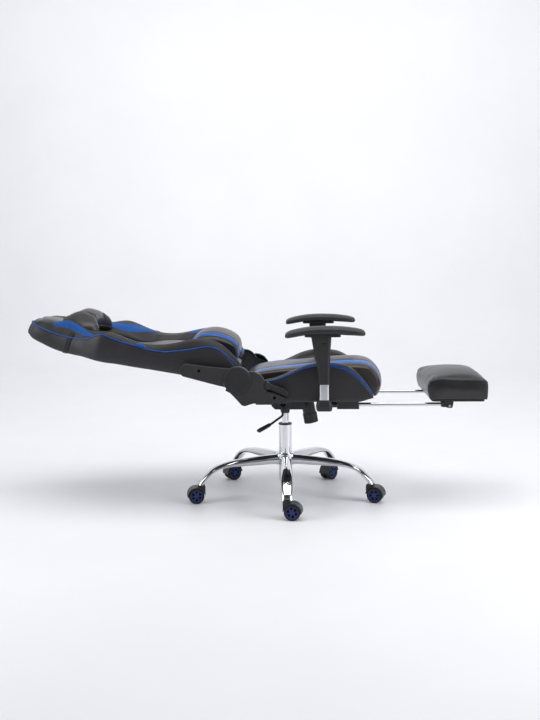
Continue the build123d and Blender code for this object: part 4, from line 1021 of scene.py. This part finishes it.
def foot_ring(y, inset):
    """The outline at one y, drawn in by inset, closed along the bottom. The top is crowned both ways."""
    ring = []
    for n, (x, z) in enumerate(F_SIDE):
        x, z = x / 1000.0, z / 1000.0
        if 5 <= n <= 19:
            z = F_EDGE(x) + (F_CROWN(x) - F_EDGE(x)) * (1 - abs(y / FH) ** 2.2)
        dx, dz = x - FX, z - 0.452
        r = math.hypot(dx, dz)
        x, z = x - dx / r * inset, z - dz / r * inset * (1.0 if dz > 0 else 0.0)
        ring.append((x, y, z))
    a, b = ring[-1], ring[0]
    for t in np.linspace(0, 1, 12)[1:-1]:
        ring.append((a[0] + (b[0] - a[0]) * t, y, FB + 0.0005))
    return ring


foot_rings = []
for y, inset in [(-0.1790, 0.010), (-0.1784, 0.0055), (-0.1768, 0.0024), (-0.1730, 0.0006)] + [(y, 0.0) for y in np.linspace(-0.166, 0.166, 23)] + [(0.1730, 0.0006), (0.1768, 0.0024), (0.1784, 0.0055), (0.1790, 0.010)]:
    foot_rings.append(foot_ring(y, inset))
fv, ff, _ = loft(foot_rings)
foot = piece("footrest_cover", fv, outward(fv, ff), [M_FOOT])
puff(foot, 0.005, 4.0, 0.0045, floor=((0, 0, FB), (0, 0, 1)), calm=16)
# the seam between the top panel and the band round the sides
edge_x = np.concatenate([np.linspace(0.5345, 0.56, 14), np.linspace(0.572, 0.72, 26), np.linspace(0.728, 0.7535, 14)])
foot_seam = [(x, -FH, F_EDGE(x) - 0.002) for x in edge_x]
foot_seam += [(F1, y, 0.4735) for y in np.linspace(-FH + 0.008, FH - 0.008, 60)]
foot_seam += [(x, FH, F_EDGE(x) - 0.002) for x in edge_x[::-1]]
foot_seam += [(0.531, y, 0.4705) for y in np.linspace(FH - 0.008, -FH + 0.008, 60)]
foot_seam = np.array(foot_seam)


def foot_shape(co):
    x, y, z = co[:, 0].copy(), co[:, 1].copy(), co[:, 2].copy()
    u, v = (x - FX) / (F1 - F0) * 2, y / FH
    # the seam draws the cover in, and puckers run in from the four corners
    d = np.full(len(co), 1.0)
    for p in foot_seam:
        d = np.minimum(d, np.linalg.norm(co - p, axis=1))
    draw = 0.0030 * np.exp(-(d / 0.0065) ** 2)
    side_x, side_y = np.clip((np.abs(u) - 0.86) / 0.08, 0, 1), np.clip((np.abs(v) - 0.94) / 0.04, 0, 1)
    x -= np.sign(u) * draw * side_x
    y -= np.sign(v) * draw * side_y
    z -= 0.5 * draw
    near = np.clip((np.minimum(np.abs(u), np.abs(v)) - 0.5) / 0.4, 0, 1) * np.clip((z - 0.472) / 0.012, 0, 1)
    z -= near * 0.0024 * (0.5 + 0.5 * np.sin((np.abs(u) - np.abs(v)) * 34))
    # the pocket that takes the board
    pocket = (np.abs(y) < 0.1775) & (x > 0.5435) & (x < 0.7475) & (z < 0.412)
    return np.stack([x, y, np.maximum(z, np.where(pocket, 0.4082, np.where(x > 0.74, 0.4065, FB)))], axis=1)


reshape(foot, foot_shape)
subdivide(foot)
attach(foot, "footrest_pad")
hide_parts("footrest_cushion")
foot_tree = surface(foot)
foot_welt = welt("footrest_welt", foot_tree, foot_seam, 0.0019, M_FOOT, lift=0.0008, closed=True, step=0.004, seg=8)
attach(foot_welt, "footrest_pad")
runs = []
for sy in (1, -1):
    runs.append([(x, sy * (FH - 0.008), F_EDGE(x) + 0.004) for x in np.linspace(0.545, 0.742, 40)])
    runs.append([(x, sy * (FH + 0.002), F_EDGE(x) - 0.011) for x in np.linspace(0.537, 0.752, 40)])
    for x in (0.5335, 0.7525):
        runs.append([(x, sy * (FH + 0.001), z) for z in np.linspace(0.462, 0.412, 12)])
for x, z in ((0.527, 0.462), (0.541, 0.485), (F1 + 0.004, 0.465), (0.748, 0.490)):
    runs.append([(x, y, z) for y in np.linspace(-FH + 0.012, FH - 0.012, 40)])
foot_sewn = stitches("footrest_stitching", foot_tree, runs, M_THREAD)
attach(foot_sewn, "footrest_pad")

# ---------------------------------------------------------------- arm pads
A_TOP = mm([(2, 660), (4, 667), (10, 672.5), (40, 682.5), (90, 691), (145, 694), (200, 692.5), (250, 687), (272, 682.5), (282, 679), (287, 675), (289, 669)])
A_BOT = mm([(2, 657.5), (4, 654), (10, 651.5), (20, 652.8), (45, 657.5), (70, 661.5), (76, 664), (145, 664.2), (198, 664.2), (204, 663.2), (245, 661), (268, 659.3), (280, 658.8), (286, 661), (289, 666)])
A_W = mm([(2, 20), (4, 29), (10, 36.5), (24, 41.5), (60, 43), (145, 43), (240, 43), (266, 41.8), (280, 38), (286, 33), (289, 24)])
for sign, hand in ((1, "left"), (-1, "right")):
    rings = []
    for x in [0.0022, 0.0029, 0.0044, 0.0072, 0.012, 0.019, 0.028, 0.04] + list(np.arange(0.054, 0.245, 0.0145)) + [0.252, 0.264, 0.273, 0.280, 0.2845, 0.287, 0.2882, 0.2888]:
        zt, zb, b = A_TOP(x), A_BOT(x), A_W(x)
        mid = zb + 0.42 * (zt - zb)
        ring = []
        for a in np.linspace(0, 2 * math.pi, 36, endpoint=False):
            c, s_ = math.cos(a), math.sin(a)
            y = b * np.sign(c) * abs(c) ** 0.62
            z = mid + ((zt - mid) if s_ > 0 else (mid - zb)) * np.sign(s_) * abs(s_) ** (0.72 if s_ > 0 else 0.5)
            ring.append((x, sign * 0.289 + y, z))
        rings.append(ring)
    v, f, w = loft(rings)
    o = piece(f"arm_pad_{hand}_skin", v, outward(v, f), [M_PAD], sub=1)
    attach(o, f"armrest_{hand}")
    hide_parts(f"arm_pad_{hand}")
    tree = surface(o)
    part_line = [(x, sign * 0.289 + A_W(x), A_BOT(x) + 0.42 * (A_TOP(x) - A_BOT(x)) - 0.0035) for x in np.concatenate([np.linspace(0.003, 0.03, 12), np.linspace(0.04, 0.25, 30), np.linspace(0.258, 0.2875, 12)])]
    part_line += [(x, sign * 0.578 - y, z) for x, y, z in reversed(part_line)]
    seam_o = welt(f"arm_pad_{hand}_seam", tree, np.array(part_line), 0.0009, M_PLASTIC, lift=0.0001, closed=True, step=0.004, seg=6)
    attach(seam_o, f"armrest_{hand}")

# ---------------------------------------------------------------- castor wheels
HEADINGS = [-8, -20, -130, -149, -170]


def revolve(profile, n=56):
    """Rings of (axial, radius) points about the X axis."""
    return [[(a, r * math.cos(t), r * math.sin(t)) for t in np.linspace(0, 2 * math.pi, n, endpoint=False)] for a, r in profile]


def wheel_parts():
    """One half of a twin castor, turning about X, its outside face at +X: tyre, dished rim with six spokes, hub cap."""
    parts = []
    tyre = [(-0.0088, 0.0075), (-0.0088, 0.0225), (-0.0088, 0.0262), (-0.0082, 0.0281), (-0.0066, 0.0293), (-0.0035, 0.0299), (0.0, 0.0300), (0.0035, 0.0299), (0.0064, 0.0294), (0.0080, 0.0283),
            (0.0087, 0.0266), (0.0086, 0.0246), (0.0078, 0.0236), (0.0066, 0.0233), (0.0020, 0.0230), (0.0014, 0.0205), (0.0012, 0.0075)]
    v, f, _ = loft(revolve(tyre), ends=(False, False))
    n = 56
    last = (len(tyre) - 1) * n
    f += [(last + j, last + (j + 1) % n, (j + 1) % n, j) for j in range(n)]
    parts.append((v, f, 0))
    ring = [(0.0016, 0.0229), (0.0074, 0.0231), (0.0080, 0.0226), (0.0081, 0.0212), (0.0076, 0.0200), (0.0062, 0.0193), (0.0016, 0.0191)]
    v, f, _ = loft(revolve(ring), ends=(False, False))
    last = (len(ring) - 1) * n
    f += [(last + j, last + (j + 1) % n, (j + 1) % n, j) for j in range(n)]
    parts.append((v, f, 1))
    cap = [(0.0014, 0.0001), (0.0014, 0.0084), (0.0060, 0.0083), (0.0078, 0.0076), (0.0085, 0.0062), (0.0084, 0.0048), (0.0076, 0.0044), (0.0079, 0.0036), (0.0084, 0.0020), (0.0086, 0.0002)]
    v, f, _ = loft(revolve(cap, 36))
    parts.append((v, f, 1))
    for k in range(6):
        a = math.radians(60 * k + 12)
        rows = []
        for r, half, top in ((0.0074, 0.0036, 0.0070), (0.0100, 0.0029, 0.0073), (0.0135, 0.0026, 0.0072), (0.0168, 0.0030, 0.0071), (0.0202, 0.0041, 0.0073)):
            sec = [(0.0015, -half * 1.1), (0.0055, -half), (top - 0.0006, -half * 0.8), (top, -half * 0.3), (top, half * 0.3), (top - 0.0006, half * 0.8), (0.0055, half), (0.0015, half * 1.1)]
            rows.append([(x, r * math.cos(a) - t * math.sin(a), r * math.sin(a) + t * math.cos(a)) for x, t in sec])
        v, f, _ = loft(rows)
        parts.append((v, f, 1))
    # a near-black disc behind the spokes: painted shade in the wheel's hollow
    disc = [(0.0013, 0.0001), (0.0016, 0.0050), (0.0016, 0.0120), (0.0018, 0.0195)]
    back = [(0.0009, 0.0195), (0.0008, 0.0120), (0.0006, 0.0001)]
    v, f, _ = loft(revolve(disc + back, 36))
    parts.append((v, f, 2))
    for k in range(36):
        a = 2 * math.pi * k / 36
        rows = []
        for x, h in ((-0.0062, 0.0295), (-0.0050, 0.03006), (0.0050, 0.03006), (0.0062, 0.0295)):
            rows.append([(x, (h - d) * math.cos(a + t), (h - d) * math.sin(a + t)) for t, d in ((-0.030, 0.0012), (-0.022, 0.0), (0.022, 0.0), (0.030, 0.0012))])
        v, f, _ = loft(rows)
        parts.append((v, f, 0))
    return parts


WHEEL = wheel_parts()
for k in range(5):
    a = math.radians(HEADINGS[k])
    axle = Vector((-math.sin(a), math.cos(a), 0))
    for side, way in (("a", -1), ("b", 1)):
        lo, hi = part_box(f"castor_{k + 1}_wheel_{side}")
        centre = (Vector(lo) + Vector(hi)) / 2
        x_axis = axle * way
        z_axis = Vector((0, 0, 1))
        y_axis = z_axis.cross(x_axis)
        spin = Matrix.Rotation(math.radians(23 * k + (17 if way > 0 else 0)), 3, "X")
        turn = Matrix((x_axis, y_axis, z_axis)).transposed() @ spin
        parts = [([centre + turn @ Vector(p) for p in v], f, m) for v, f, m in WHEEL]
        o = joined(f"castor_{k + 1}_wheel_{side}_detail", parts, [M_RUBBER, M_RIM, M_PAINTED_HOLE_SHADE])
        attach(o, f"castor_{k + 1}_wheel_{side}")
        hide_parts(f"castor_{k + 1}_wheel_{side}")

# ---------------------------------------------------------------- finishes of the CAD nodes that stay
FINISH = {
    "star_base": M_CHROME, "gas_lift_tube": M_CHROME, "gas_lift_cylinder": M_CHROME, "arm_posts": M_CHROME, "footrest_rails": M_CHROME,
    "gas_lift_bush": M_PLASTIC_FINE, "lift_piston_rod": M_STEEL, "lift_thrust_bearing": M_STEEL, "lift_release_pin": M_STEEL, "tilt_spring": M_STEEL,
    "tilt_housing": M_COAT, "tilt_top_plate": M_COAT, "seat_frame": M_COAT, "recliner_seat_plates": M_COAT, "recliner_back_plates": M_COAT,
    "pivot_pins": M_OXIDE, "seat_bolts": M_OXIDE, "footrest_pivot_pins": M_STEEL, "seat_webbing": M_WEB, "tension_knob": M_PLASTIC,
    "lift_lever_rod": M_COAT, "lift_lever_grip": M_PLASTIC_FINE, "arm_post_caps": M_PLASTIC, "footrest_guides": M_PLASTIC, "footrest_rail_stops": M_PLASTIC_FINE,
    "footrest_hinge_brackets": M_PLASTIC, "footrest_board": M_BOARD, "hinge_covers_seat": M_PLASTIC, "hinge_covers_back": M_PLASTIC, "recliner_caps": M_PLASTIC,
    "recline_lever": M_PLASTIC_FINE, "arm_sleeve_left": M_PLASTIC, "arm_sleeve_right": M_PLASTIC, "arm_button_left": M_PLASTIC_FINE, "arm_button_right": M_PLASTIC_FINE,
}
for k in range(1, 6):
    FINISH[f"castor_{k}_fork"] = M_PLASTIC_FINE
for name, mat in FINISH.items():
    for slot in NODES[name].material_slots:
        slot.material = mat

# ---------------------------------------------------------------- stage, light, camera
m = Mat("studio_floor")
floor_col = m.ramp(m.noise(1.6, 3.0), [(0.3, (0.825, 0.83, 0.855)), (0.7, (0.85, 0.855, 0.878))])
M_FLOOR = m.done(floor_col, m.span(m.noise(5.0, 4.0), 0.42, 0.55, 0.3, 0.7), m.bump(m.noise(220.0, 3.0), 0.03, 0.0005), Specular_IOR_Level=0.35)
rows = []
for y, z in [(-7.0, 0.0), (-3.0, 0.0), (0.0, 0.0), (2.2, 0.0), (3.2, 0.0)] + [(3.2 + 2.0 * math.sin(a), 2.0 - 2.0 * math.cos(a)) for a in np.linspace(0.15, math.pi / 2, 12)] + [(5.2, 3.0), (5.2, 3.6)]:
    rows.append([(x, y, z) for x in np.linspace(-7, 7, 15)])
gv, gf, _ = loft(rows, ends=(False, False), closed=False)
floor = piece("studio_sweep", gv, gf, [M_FLOOR])


def softbox(name, at, aim, size, watts, colour=(1, 1, 1)):
    light = bpy.data.lights.new(name, "AREA")
    light.shape = "RECTANGLE"
    light.size, light.size_y = size
    light.energy = watts
    light.color = colour
    o = bpy.data.objects.new(name, light)
    o.location = at
    o.rotation_mode = "QUATERNION"
    o.rotation_quaternion = (Vector(aim) - Vector(at)).to_track_quat("-Z", "Y")
    SCENE.collection.objects.link(o)
    return o


softbox("top_box", (0.2, -0.4, 3.3), (0.15, 0.2, 0.4), (3.8, 1.9), 82, (1.0, 0.99, 0.985))
softbox("left_box", (-3.2, -1.2, 1.9), (0, 0, 0.4), (1.8, 2.2), 44, (0.975, 0.98, 1.0))
softbox("right_box", (3.0, -1.6, 1.8), (0, 0, 0.4), (1.6, 2.0), 60, (0.975, 0.98, 1.0))
softbox("sweep_box", (0.0, 2.4, 3.6), (0.0, 4.8, 1.0), (8.0, 1.2), 122, (0.99, 0.99, 1.0))

world = bpy.data.worlds.new("studio")
SCENE.world = world
world.use_nodes = True
wn = world.node_tree
bg = wn.nodes["Background"]
tc = wn.nodes.new("ShaderNodeTexCoord")
sep = wn.nodes.new("ShaderNodeSeparateXYZ")
wn.links.new(tc.outputs["Generated"], sep.inputs[0])
ramp = wn.nodes.new("ShaderNodeValToRGB")
ramp.color_ramp.elements[0].position, ramp.color_ramp.elements[0].color = 0.1, (0.20, 0.205, 0.215, 1)
ramp.color_ramp.elements[1].position, ramp.color_ramp.elements[1].color = 0.8, (0.92, 0.935, 0.965, 1)
span = wn.nodes.new("ShaderNodeMapRange")
span.inputs["From Min"].default_value, span.inputs["From Max"].default_value = -1.0, 1.0
wn.links.new(sep.outputs["Y"], span.inputs["Value"])
wn.links.new(span.outputs["Result"], ramp.inputs["Fac"])
wn.links.new(ramp.outputs["Color"], bg.inputs["Color"])
# a dim ceiling above the bright sweep
ceiling = wn.nodes.new("ShaderNodeMapRange")
ceiling.interpolation_type = "SMOOTHSTEP"
for key, value in (("From Min", 0.45), ("From Max", 0.85), ("To Min", 0.92), ("To Max", 0.16)):
    ceiling.inputs[key].default_value = value
wn.links.new(sep.outputs["Z"], ceiling.inputs["Value"])
wn.links.new(ceiling.outputs["Result"], bg.inputs["Strength"])

YAW, PITCH, ROLL = 0.0226, 0.1227, -0.0063
fwd = Vector((-math.sin(YAW) * math.cos(PITCH), math.cos(YAW) * math.cos(PITCH), -math.sin(PITCH)))
right = Vector((math.cos(YAW), math.sin(YAW), 0))
upv = right.cross(fwd)
right2 = right * math.cos(ROLL) + upv * math.sin(ROLL)
up2 = -right * math.sin(ROLL) + upv * math.cos(ROLL)
camera = bpy.data.cameras.new("camera")
camera.lens, camera.sensor_width, camera.sensor_fit = 49.14, 36.0, "AUTO"
camera.clip_start, camera.clip_end = 0.05, 60.0
cam = bpy.data.objects.new("camera", camera)
cam.matrix_world = Matrix((right2, up2, -fwd)).transposed().to_4x4()
cam.location = (0.0276, -3.7866, 1.0037)
SCENE.collection.objects.link(cam)
SCENE.camera = cam
SCENE.view_settings.view_transform = "Standard"
